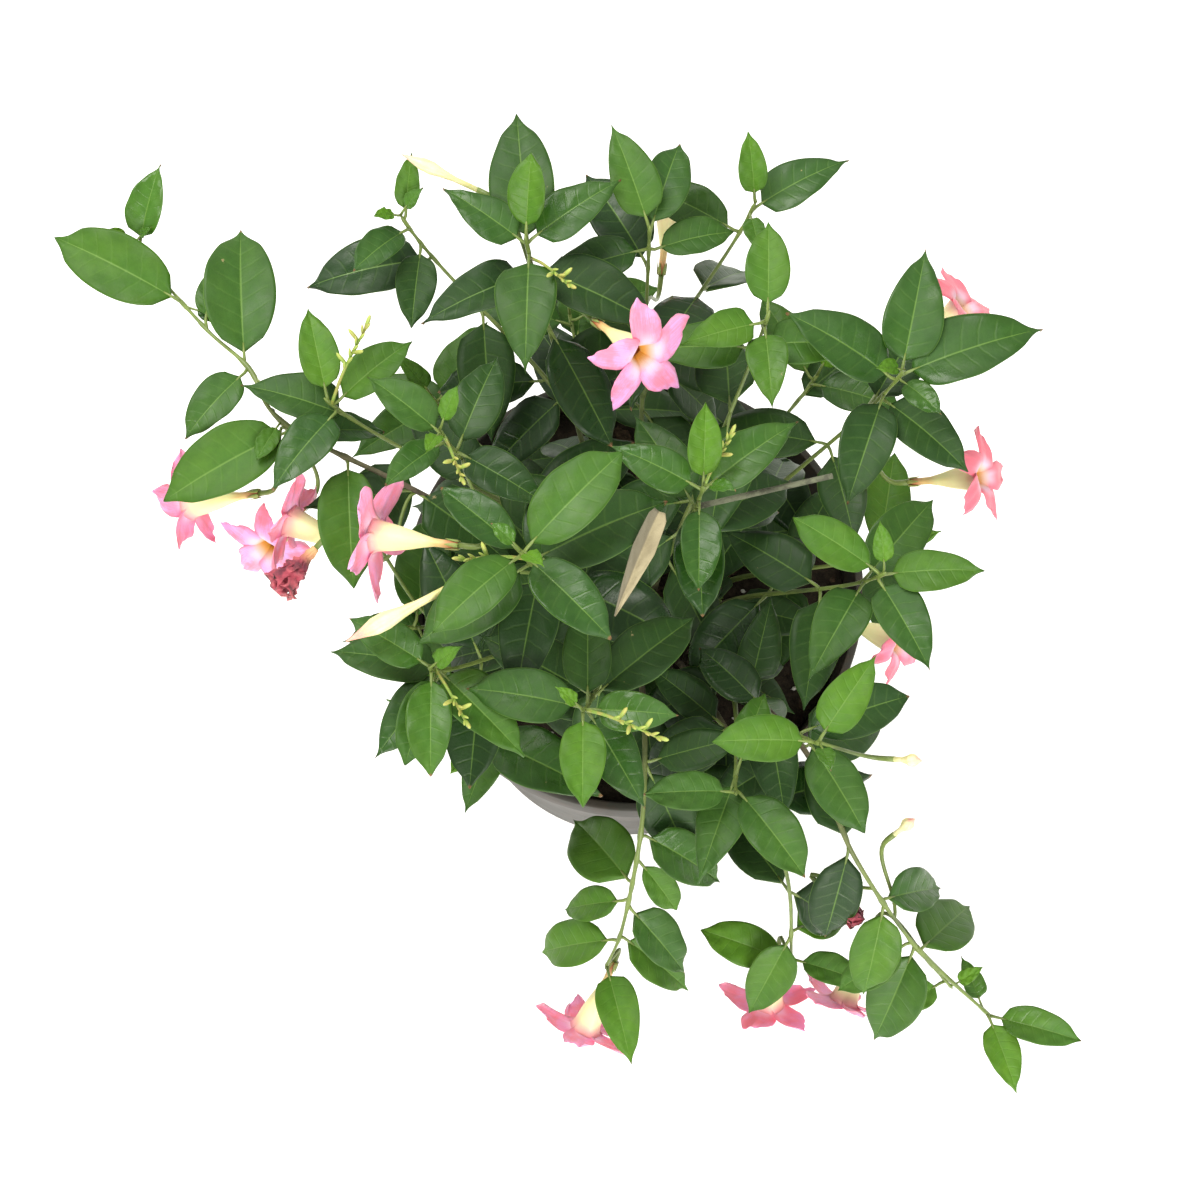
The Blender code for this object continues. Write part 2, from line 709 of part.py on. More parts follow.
def grow_sprays(crowd, lines, pieces):
    """Thin stalks set with small pointed buds."""
    for cane, number, below, bearing, length, count in SPRAYS:
        start, _ = stem_point(lines, cane, number, below)
        line = [start + bearing_way(bearing, 50 - 25 * t) * (length * t) for t in (0.0, 0.35, 0.7, 1.0)]
        stalk = tube(line, lambda t: 0.9 - 0.3 * t, 3)
        crowd.add(cane, *stalk)
        pieces[cane].append(stalk)
        for k in range(count):
            root, _ = along(line, line_length(line) * (1.0 - 0.16 * k))
            swing = bearing + (75 if k % 2 else -75) * (k > 0)
            way = bearing_way(swing, 40)
            bud = spindle_mesh(root, way, SMALL_BUD_LENGTH, SMALL_BUD_RADIUS, SMALL_BUD_PROFILE, 4, 0)
            crowd.add(cane, *bud)
            pieces[cane].append(bud)


def try_leaf(crowd, pieces, cane, leaf, changes):
    """Puts the leaf where it crosses nothing, with the first of the changes that is clear, if one is."""
    for swing, tip_up, shorter in changes:
        tried = dict(leaf)
        tried["bearing"] += swing
        tried["pitch"] += tip_up
        tried["length"] *= shorter
        tried["width"] *= shorter
        blade = leaf_mesh(tried, CLEARANCE, True)
        if crowd.hits(*blade) or crowd.hits(*leaf_mesh(tried, CLEARANCE), lambda owner: owner != cane):
            continue
        placed = leaf_mesh(tried)
        crowd.add(cane, *placed)
        pieces[cane].append(placed)
        return


# What a leaf that shows may change to be clear: its bearing and its pitch, in degrees, and its length
TURNS = (
    (0, 9), (0, -9), (9, 0), (-9, 0), (0, 18), (0, -18), (10, 12), (-10, 12), (10, -12), (-10, -12), (0, 28),
)
SHOWN_CHANGES = [(0, 0, 1.0)] + [(*turn, shorter) for shorter in (1.0, 0.9, 0.8) for turn in TURNS]
HIDDEN_CHANGES = 24


def grow_leaves(crowd, lines, pieces):
    """First the leaves that show, then pairs down each shoot, turned a quarter from node to node."""
    rng = random.Random(7)
    for name, shoots in CANES.items():
        for number, shoot in enumerate(shoots):
            droop = shoot.get("droop", -8)
            for below, bearing, length in shoot["leaves"]:
                root, _ = stem_point(lines, name, number, below)
                young = max(0.0, 1 - below / 16)
                pitch = 4 + (44 if length < 40 else 10) * young + droop * min(1, below / 30)
                length = length * min(LONGEST_ARCH, SHOWN_ARCH / math.cos(math.radians(pitch)))
                leaf = dict(
                    root=root,
                    bearing=bearing,
                    pitch=pitch,
                    length=length,
                    width=length * LEAF_WIDTH_SHARE,
                    bend=26 + rng.uniform(0, 16),
                    roll=rng.uniform(-10, 10),
                    fold=rng.uniform(8, 18),
                    broad=length > 30 and below < 20,
                )
                try_leaf(crowd, pieces, name, leaf, SHOWN_CHANGES)
    for name, shoots in CANES.items():
        for number, shoot in enumerate(shoots):
            whole = line_length(lines[name, number])
            below = max(below for below, _, _ in shoot["leaves"]) + INTERNODE * 0.7
            bearing = shoot["leaves"][-1][1] + 90
            while below < whole:
                root, _ = stem_point(lines, name, number, below)
                if root.z < LOWEST_LEAF_NODE:
                    break
                for side in (0, 180):
                    length = rng.uniform(60, 74)
                    outward = math.cos(math.radians(bearing + side) - math.atan2(root.y, root.x))
                    pitch = -14 - 26 * max(0, outward) * min(1, root.xy.length / 100)
                    pitch -= 14 * (440 - root.z) / 200
                    leaf = dict(
                        root=root,
                        bearing=bearing + side + rng.uniform(-15, 15),
                        pitch=pitch + rng.uniform(-8, 8),
                        length=length,
                        width=length * LEAF_WIDTH_SHARE,
                        bend=rng.uniform(18, 40),
                        roll=rng.uniform(-16, 16),
                        fold=rng.uniform(6, 14),
                        broad=False,
                    )
                    changes = [(0, 0, 1.0)]
                    for _ in range(HIDDEN_CHANGES):
                        turn = rng.uniform(-50, 50), rng.uniform(-30, 45)
                        changes.append((*turn, rng.choice((1.0, 0.9, 0.8))))
                    try_leaf(crowd, pieces, name, leaf, changes)
                bearing += 90
                below += INTERNODE * rng.uniform(0.85, 1.1)


def grow_stub(crowd, lines, pieces):
    line = lines[STUB["cane"], 0]
    start, _ = along(line, line_length(line) * STUB["at"])
    end = Vector(STUB["end"])
    stub = tube(smooth_route([start, end], end - start, end - start, 20.0), lambda t: 1.7 - 0.2 * t, 5)
    crowd.add(STUB["cane"], *stub)
    pieces[STUB["cane"]].append(stub)


def make_dry_leaf(crowd):
    """A folded dry leaf, lowered until it nearly lies on the foliage."""
    base, tip = Vector(DRY_LEAF["base"]), Vector(DRY_LEAF["tip"])
    leaf = dict(
        root=base,
        bearing=math.degrees(math.atan2(tip.y - base.y, tip.x - base.x)),
        pitch=6,
        length=(tip - base).length - PETIOLE_LENGTH,
        width=DRY_LEAF["width"],
        bend=14,
        roll=12,
        fold=38,
        broad=True,
    )
    lower = Vector((0, 0, 0.5))
    while not crowd.hits(*leaf_mesh(leaf, GAP)):
        leaf["root"] = leaf["root"] - lower
    leaf["root"] = leaf["root"] + lower
    return leaf_mesh(leaf)


def fuse(name, parts, finish):
    """One closed body from overlapping solids."""
    joined = solid(name, *parts[0], finish)
    others = bpy.data.collections.new("joining")
    bpy.context.scene.collection.children.link(others)
    for points, faces in parts[1:]:
        mesh = bpy.data.meshes.new("joining")
        mesh.from_pydata([Vector(p) * MM for p in points], [], faces)
        others.objects.link(bpy.data.objects.new("joining", mesh))
    modifier = joined.modifiers.new("union", "BOOLEAN")
    modifier.operation = "UNION"
    modifier.operand_type = "COLLECTION"
    modifier.collection = others
    apply_modifier(joined, modifier)
    for used in list(others.objects):
        bpy.data.objects.remove(used, do_unlink=True)
    bpy.data.collections.remove(others)
    return joined


def add_object(crowd, obj):
    """Keeps the growth out of a solid that is made already."""
    obj.data.calc_loop_triangles()
    points = [v.co / MM for v in obj.data.vertices]
    crowd.add(obj.name, points, [tuple(t.vertices) for t in obj.data.loop_triangles])


def main():
    clear_scene()
    crowd = Crowd()
    add_object(crowd, make_pot())
    lines, pieces, feet = grow_stems(crowd)
    add_object(crowd, make_soil(feet))
    blooms = grow_blooms(crowd, lines, pieces)
    grow_sprays(crowd, lines, pieces)
    grow_stub(crowd, lines, pieces)
    grow_leaves(crowd, lines, pieces)
    dry_leaf = make_dry_leaf(crowd)
    green = material("leaf_green", LEAF_GREEN, 0.4)
    pink = material("petal_pink", PETAL_PINK, 0.5)
    maroon = material("faded_petal", FADED_MAROON, 0.7)
    cream = material("bud_cream", BUD_CREAM, 0.5)
    tan = material("dry_leaf_tan", DRY_TAN, 0.8)
    for name, parts in pieces.items():
        fuse(name, parts, green)
    for name, bloom in blooms.items():
        finish = pink if name.startswith("bloom") else maroon if name.startswith("faded") else cream
        solid(name, *bloom, finish)
    solid("dry_leaf", *dry_leaf, tan)
    bpy.context.view_layer.update()


main()
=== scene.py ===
"""The looks of a potted pink mandevilla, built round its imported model.

Sizes are in millimetres and become metres where a mesh is made. +Z is up, and the origin is the middle of the
pot's foot. The plant leans and trails towards -Y.
"""

import json
import math
import random

import bmesh
import bpy
import numpy as np
from mathutils import Matrix, Vector, kdtree, noise

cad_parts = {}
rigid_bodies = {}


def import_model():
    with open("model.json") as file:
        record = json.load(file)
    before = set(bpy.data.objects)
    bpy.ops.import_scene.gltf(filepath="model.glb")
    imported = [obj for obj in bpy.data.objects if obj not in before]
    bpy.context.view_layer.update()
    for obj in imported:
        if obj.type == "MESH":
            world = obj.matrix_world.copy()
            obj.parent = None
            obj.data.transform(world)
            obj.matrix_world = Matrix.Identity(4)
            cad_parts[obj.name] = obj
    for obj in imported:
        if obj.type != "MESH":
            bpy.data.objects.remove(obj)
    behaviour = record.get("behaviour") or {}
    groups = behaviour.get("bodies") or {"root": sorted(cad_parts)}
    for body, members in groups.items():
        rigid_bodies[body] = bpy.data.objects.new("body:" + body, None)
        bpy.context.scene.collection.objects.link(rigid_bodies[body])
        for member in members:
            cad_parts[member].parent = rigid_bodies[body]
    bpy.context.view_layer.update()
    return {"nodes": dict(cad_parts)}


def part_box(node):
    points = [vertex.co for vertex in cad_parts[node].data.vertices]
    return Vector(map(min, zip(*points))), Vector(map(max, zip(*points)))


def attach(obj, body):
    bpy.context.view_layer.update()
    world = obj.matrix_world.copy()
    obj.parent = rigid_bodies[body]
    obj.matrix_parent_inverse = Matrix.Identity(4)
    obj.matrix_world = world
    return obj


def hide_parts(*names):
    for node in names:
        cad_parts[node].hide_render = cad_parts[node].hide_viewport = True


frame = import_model()


# The pot is one thin moulding of dark grey-brown polypropylene, of the kind that nurseries fill by machine. A
# plain band stiffens its rim and six holes drain its floor. Dust and dried splashes of soil dull it.
MM = 0.001
pot_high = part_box("pot")[1] / MM
POT_HEIGHT = pot_high.z
POT_RIM_RADIUS = pot_high.x
POT_NARROWING = 29.0
POT_BAND_STEP = 4.0
POT_FOOT_RADIUS = POT_RIM_RADIUS - POT_NARROWING
POT_TAPER = (POT_NARROWING - POT_BAND_STEP) / POT_HEIGHT
POT_BAND_DEPTH = 24.0
POT_WALL = 2.6
POT_SIDES = 120
POT_EDGE_RADIUS = 1.6
DRAIN_HOLES = 6
DRAIN_RADIUS = 5.0
DRAIN_CIRCLE = 80.0


def finish(name, **sockets):
    """A material, its node tree and its shader, with the values that are the same all over the surface."""
    made = bpy.data.materials.new(name)
    made.use_nodes = True
    shader = made.node_tree.nodes["Principled BSDF"]
    for socket, value in sockets.items():
        shader.inputs[socket.replace("_", " ")].default_value = value
    return made, made.node_tree, shader


def add(tree, kind, inputs=None, **settings):
    """A shader node. Each input is a value, or the socket that feeds it."""
    made = tree.nodes.new(kind if kind.startswith("NodeGroup") else "ShaderNode" + kind)
    for name, value in settings.items():
        setattr(made, name, value)
    for key, value in (inputs or {}).items():
        if isinstance(value, bpy.types.NodeSocket):
            tree.links.new(value, made.inputs[key])
        else:
            made.inputs[key].default_value = value
    return made


def rise(tree, value, low, high, top=1.0, bottom=0.0):
    """A value that goes smoothly from bottom to top while its input goes from low to high."""
    inputs = {"Value": value, "From Min": low, "From Max": high, "To Min": bottom, "To Max": top}
    return add(tree, "MapRange", inputs, interpolation_type="SMOOTHSTEP").outputs["Result"]


def maths(tree, operation, one, other=0.0):
    """One sum on values."""
    return add(tree, "Math", {0: one, 1: other}, operation=operation).outputs[0]


def group(name, inputs, outputs):
    """An effect that several finishes share: its tree, with its input and output nodes."""
    tree = bpy.data.node_groups.new(name, "ShaderNodeTree")
    for label, value in inputs.items():
        kind = "NodeSocketColor" if isinstance(value, tuple) else "NodeSocketFloat"
        tree.interface.new_socket(name=label, in_out="INPUT", socket_type=kind).default_value = value
    for label, kind in outputs.items():
        tree.interface.new_socket(name=label, in_out="OUTPUT", socket_type="NodeSocket" + kind)
    return tree, tree.nodes.new("NodeGroupInput").outputs, tree.nodes.new("NodeGroupOutput").inputs


# Mottling turns a colour into another in soft cloudy patches.
MOTTLING, given, out = group(
    "mottling",
    {
        "Colour": (0.5, 0.5, 0.5, 1.0), "Patches": (0.3, 0.3, 0.3, 1.0),
        "Scale": 40.0, "Share": 0.5, "Edge": 0.15, "Level": 0.52,
    },
    {"Colour": "Color", "Mask": "Float"},
)
spot = add(MOTTLING, "TexCoord").outputs["Object"]
clouds = add(MOTTLING, "TexNoise", {"Vector": spot, "Scale": given["Scale"], "Detail": 5.0, "Roughness": 0.6})
low = maths(MOTTLING, "SUBTRACT", given["Level"], given["Edge"])
high = maths(MOTTLING, "ADD", given["Level"], given["Edge"])
mask = maths(MOTTLING, "MULTIPLY", rise(MOTTLING, clouds.outputs["Fac"], low, high), given["Share"])
blend = add(MOTTLING, "Mix", {0: mask, 6: given["Colour"], 7: given["Patches"]}, data_type="RGBA")
MOTTLING.links.new(blend.outputs[2], out["Colour"])
MOTTLING.links.new(mask, out["Mask"])

# Grain is the small relief of a surface: a coarse part and a fine one.
GRAIN, given, out = group("grain", {"Coarse": 120.0, "Fine": 900.0, "Fine share": 0.4}, {"Height": "Float"})
spot = add(GRAIN, "TexCoord").outputs["Object"]
coarse = add(GRAIN, "TexNoise", {"Vector": spot, "Scale": given["Coarse"], "Detail": 4.0}).outputs["Fac"]
fine = add(GRAIN, "TexNoise", {"Vector": spot, "Scale": given["Fine"], "Detail": 2.0}).outputs["Fac"]
height = maths(GRAIN, "ADD", coarse, maths(GRAIN, "MULTIPLY", fine, given["Fine share"]))
GRAIN.links.new(height, out["Height"])


def colour_input(colour):
    """A colour as a node takes it: a socket as it is, or red, green and blue with a full alpha."""
    return colour if isinstance(colour, bpy.types.NodeSocket) else (*colour, 1.0)


def mottle(tree, colour, patches, scale, share, edge=0.15, level=0.52):
    """The colour with patches of another in it, fewer at a higher level, and where they are."""
    inputs = {"Colour": colour_input(colour), "Patches": colour_input(patches)}
    inputs |= {"Scale": scale, "Share": share, "Edge": edge, "Level": level}
    made = add(tree, "Group", inputs, node_tree=MOTTLING)
    return made.outputs["Colour"], made.outputs["Mask"]


def cover(tree, shader, colour, coarse, fine, depth, strength=0.6, height=None):
    """Feeds a shader its colour, and its grain and any other height as relief of a depth in millimetres."""
    tree.links.new(colour, shader.inputs["Base Color"])
    grain = add(tree, "Group", {"Coarse": coarse, "Fine": fine}, node_tree=GRAIN).outputs["Height"]
    if height:
        grain = maths(tree, "ADD", grain, height)
    bump = add(tree, "Bump", {"Height": grain, "Distance": depth * MM, "Strength": strength})
    tree.links.new(bump.outputs["Normal"], shader.inputs["Normal"])


def put(name, points, faces, collection):
    """A new mesh object in a collection."""
    mesh = bpy.data.meshes.new(name)
    mesh.from_pydata(points, [], faces)
    made = bpy.data.objects.new(name, mesh)
    collection.objects.link(made)
    return made


class Growth:
    """One piece's mesh, gathered part by part, with the values at its points that its finishes read."""

    def __init__(self):
        self.points, self.faces, self.finishes, self.count = [], [], [], 0
        self.values = {"across": [], "along": [], "age": [], "tone": []}

    def take(self, points, faces, finish=0, **values):
        """Adds a part. The finish is one index or one a face, and each value is one number or one a point."""
        points = np.asarray(points, float).reshape(-1, 3)
        self.points.append(points)
        self.faces += [tuple(self.count + i for i in face) for face in faces]
        self.finishes += list(finish) if isinstance(finish, (list, tuple)) else [finish] * len(faces)
        for name, gathered in self.values.items():
            value = np.asarray(values.get(name, 0.0), float)
            gathered.append(np.broadcast_to(value.ravel() if value.ndim else value, len(points)))
        self.count += len(points)

    def make(self, name, finishes, slot, *nodes):
        """The shown piece, which rides with the pot and stands for those nodes."""
        points = (np.concatenate(self.points) * MM).tolist()
        piece = put(name, points, self.faces, bpy.context.scene.collection)
        mesh = piece.data
        for made in finishes:
            mesh.materials.append(made)
        mesh.polygons.foreach_set("material_index", self.finishes)
        mesh.shade_smooth()
        for label, gathered in self.values.items():
            attribute = mesh.attributes.new(label, "FLOAT", "POINT")
            attribute.data.foreach_set("value", np.concatenate(gathered).astype(np.float32))
        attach(piece, "root")
        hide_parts(*nodes)
        return piece


def ring_faces(rings, sides):
    """The faces of a closed skin over rings of points, with a flat face at each end."""
    last = (rings - 1) * sides
    faces = [tuple(reversed(range(sides))), tuple(range(last, last + sides))]
    for low in range(0, last, sides):
        for k in range(sides):
            near, far = low + k, low + (k + 1) % sides
            faces.append((near, far, far + sides, near + sides))
    return faces


def turned(profile, sides):
    """A solid of revolution round Z. The profile is (radius, height) all along its skin."""
    turns = np.linspace(0, math.tau, sides, endpoint=False)
    points = [(r * math.cos(a), r * math.sin(a), z) for r, z in profile for a in turns]
    return points, ring_faces(len(profile), sides)


def rounded(profile, radius, steps=4):
    """A profile with its inner corners rounded off."""
    made = [profile[0]]
    for before, corner, after in zip(profile, profile[1:], profile[2:]):
        corner = Vector(corner)
        to, away = Vector(before) - corner, Vector(after) - corner
        reach = min(radius, to.length * 0.45, away.length * 0.45)
        start, end = corner + to.normalized() * reach, corner + away.normalized() * reach
        for k in range(steps + 1):
            t = k / steps
            made.append(tuple(start * (1 - t) ** 2 + corner * 2 * t * (1 - t) + end * t**2))
    return made + [profile[-1]]


def pot_inside(height):
    """The radius of the pot's inner face at a height."""
    return POT_FOOT_RADIUS + POT_TAPER * height - POT_WALL


band_low = POT_HEIGHT - POT_BAND_DEPTH
under_band = POT_FOOT_RADIUS + POT_TAPER * band_low
pot_profile = [
    (POT_FOOT_RADIUS - 12, 1.2), (POT_FOOT_RADIUS - 9, 0), (POT_FOOT_RADIUS - 2, 0), (POT_FOOT_RADIUS, 3),
    (under_band, band_low), (POT_RIM_RADIUS - 1, band_low), (POT_RIM_RADIUS, POT_HEIGHT - 1),
    (POT_RIM_RADIUS - 5, POT_HEIGHT), (pot_inside(band_low), band_low - 4), (pot_inside(POT_WALL), POT_WALL),
]

PLASTIC, tree, shader = finish("pot_plastic", Roughness=0.5, Specular_IOR_Level=0.35)
colour, _ = mottle(tree, (0.042, 0.04, 0.033), (0.034, 0.031, 0.025), 26.0, 0.7, 0.3)
colour, dust = mottle(tree, colour, (0.08, 0.073, 0.058), 9.0, 0.3, 0.5)
colour, splash = mottle(tree, colour, (0.06, 0.042, 0.03), 75.0, 0.5, 0.03)
tree.links.new(rise(tree, dust, 0.0, 0.4, 0.85, 0.42), shader.inputs["Roughness"])
cover(tree, shader, colour, 300.0, 1800.0, 0.15, 0.5, splash)

pot = Growth()
pot.take(*turned(rounded(pot_profile, POT_EDGE_RADIUS), POT_SIDES))
pot = pot.make("moulded_pot", [PLASTIC], "pot_plastic", "pot")
drills = bpy.data.collections.new("drills")
for k in range(DRAIN_HOLES):
    turn = math.tau * (k + 0.5) / DRAIN_HOLES
    points, faces = turned([(DRAIN_RADIUS, -5), (DRAIN_RADIUS, POT_WALL + 5)], 24)
    drill = put("drill", [Vector(p) * MM for p in points], faces, drills)
    drill.location = Vector((math.cos(turn), math.sin(turn), 0)) * DRAIN_CIRCLE * MM
holes = pot.modifiers.new("holes", "BOOLEAN")
holes.operation = "DIFFERENCE"
holes.operand_type = "COLLECTION"
holes.collection = drills
bpy.context.view_layer.objects.active = pot
bpy.ops.object.modifier_apply(modifier=holes.name)
for drill in list(drills.objects):
    bpy.data.objects.remove(drill, do_unlink=True)
bpy.data.collections.remove(drills)
pot.data.set_sharp_from_angle(angle=math.radians(32))


# Potting soil fills the pot to just below its rim: dark peat with crumbs, chips of bark and a few white
# grains of perlite lying loose on it. It was pressed in by hand round the canes, so its top is uneven.
SOIL_TOP = (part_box("soil")[1] / MM).z
SOIL_RINGS = 26
SOIL_SIDES = 72
CRUMBS = 520
BARK_CHIPS = 90
PERLITE_GRAINS = 60
SOIL_CLEARANCE = 0.6


def soil_height(x, y):
    """The top of the soil at a place."""
    spot = Vector((x, y, 0))
    return SOIL_TOP - 1.8 + 3.0 * noise.noise(spot * 0.03) + 1.6 * noise.noise(spot * 0.11)


def lump(centre, sizes, turn, roughness, seed):
    """A rough stone or chip: a ball pressed to its three sizes and pitted, as points and faces."""
    shape = bmesh.new()
    bmesh.ops.create_icosphere(shape, subdivisions=2, radius=1.0)
    points = []
    for vertex in shape.verts:
        pit = 1 + roughness * noise.noise(vertex.co * 1.7 + Vector((seed, 0, 0)))
        x, y, z = (c * size / 2 * pit for c, size in zip(vertex.co, sizes))
        points.append(centre + turn @ Vector((x, y, z)))
    faces = [tuple(v.index for v in face.verts) for face in shape.faces]
    shape.free()
    return points, faces


def earth(name, colour, patches, scale, roughness):
    """The dull, pitted finish of peat, bark or perlite."""
    made, tree, shader = finish(name, Roughness=roughness, Specular_IOR_Level=0.2)
    colour, _ = mottle(tree, colour, patches, scale, 0.9)
    cover(tree, shader, colour, scale * 4, scale * 20, 0.8, 0.8)
    return made


PEAT = earth("peat", (0.017, 0.0125, 0.009), (0.042, 0.031, 0.021), 150.0, 0.95)
BARK_CHIP = earth("bark_chip", (0.085, 0.055, 0.034), (0.035, 0.023, 0.015), 220.0, 0.85)
PERLITE = earth("perlite", (0.78, 0.76, 0.7), (0.55, 0.52, 0.45), 300.0, 0.9)

soil = Growth()
rim = pot_inside(SOIL_TOP) - SOIL_CLEARANCE
rows = [(pot_inside(POT_WALL) - SOIL_CLEARANCE, POT_WALL + 0.3, False), (rim, SOIL_TOP - 3, False)]
rows += [(rim * (1 - k / SOIL_RINGS), 0.0, True) for k in range(SOIL_RINGS)]
points = []
for radius, height, on_top in rows:
    for k in range(SOIL_SIDES):
        x, y = (radius * f(math.tau * k / SOIL_SIDES) for f in (math.cos, math.sin))
        points.append((x, y, soil_height(x, y) if on_top else height))
soil.take(points, ring_faces(len(rows), SOIL_SIDES))
dice = random.Random(11)
# Each loose lump: its least and greatest length, how flat it is, and its finish
heap = [(1.2, 4.6, 1.0, 0)] * CRUMBS
heap += [(5.0, 15.0, 0.4, 1)] * BARK_CHIPS
heap += [(1.6, 3.4, 0.9, 2)] * PERLITE_GRAINS
for number, (least, most, flat, kind) in enumerate(heap):
    radius = (rim - 6) * math.sqrt(dice.random())
    turn = dice.uniform(0, math.tau)
    x, y = radius * math.cos(turn), radius * math.sin(turn)
    size = dice.uniform(least, most)
    sizes = (size, size * dice.uniform(0.5, 0.9), size * flat * dice.uniform(0.45, 0.8))
    centre = Vector((x, y, soil_height(x, y) + sizes[2] * 0.2))
    spin = Matrix.Rotation(dice.uniform(0, math.tau), 3, "Z")
    spin = spin @ Matrix.Rotation(dice.uniform(-0.3, 0.3), 3, "X")
    soil.take(*lump(centre, sizes, spin, 0.7, number * 3.1), kind)
soil.make("soil_and_chips", [PEAT, BARK_CHIP, PERLITE], "potting_soil", "soil")


# The canes are woody, twining stems that rise from the soil and branch into green shoots. Each leaf pair and
# flower stalk leaves a small swelling, and the oldest wood near the soil has a thin grey-brown bark.
CANE_RADIUS = 2.7
SHOOT_RADIUS = 1.9
TIP_RADIUS = 1.2
STEM_STEP = 32.0
FINE_STEP = 4.0
STEM_SIDES = 10
HOLE_DEPTH = 26.0
FOOT_SHARE = 0.36
SLENDER = 0.32
KNUCKLE = 0.5
TIP_ROUNDING = 0.4
KNUCKLE_LENGTH = 3.0
GREEN_WOOD = 60.0
OLD_WOOD = 300.0

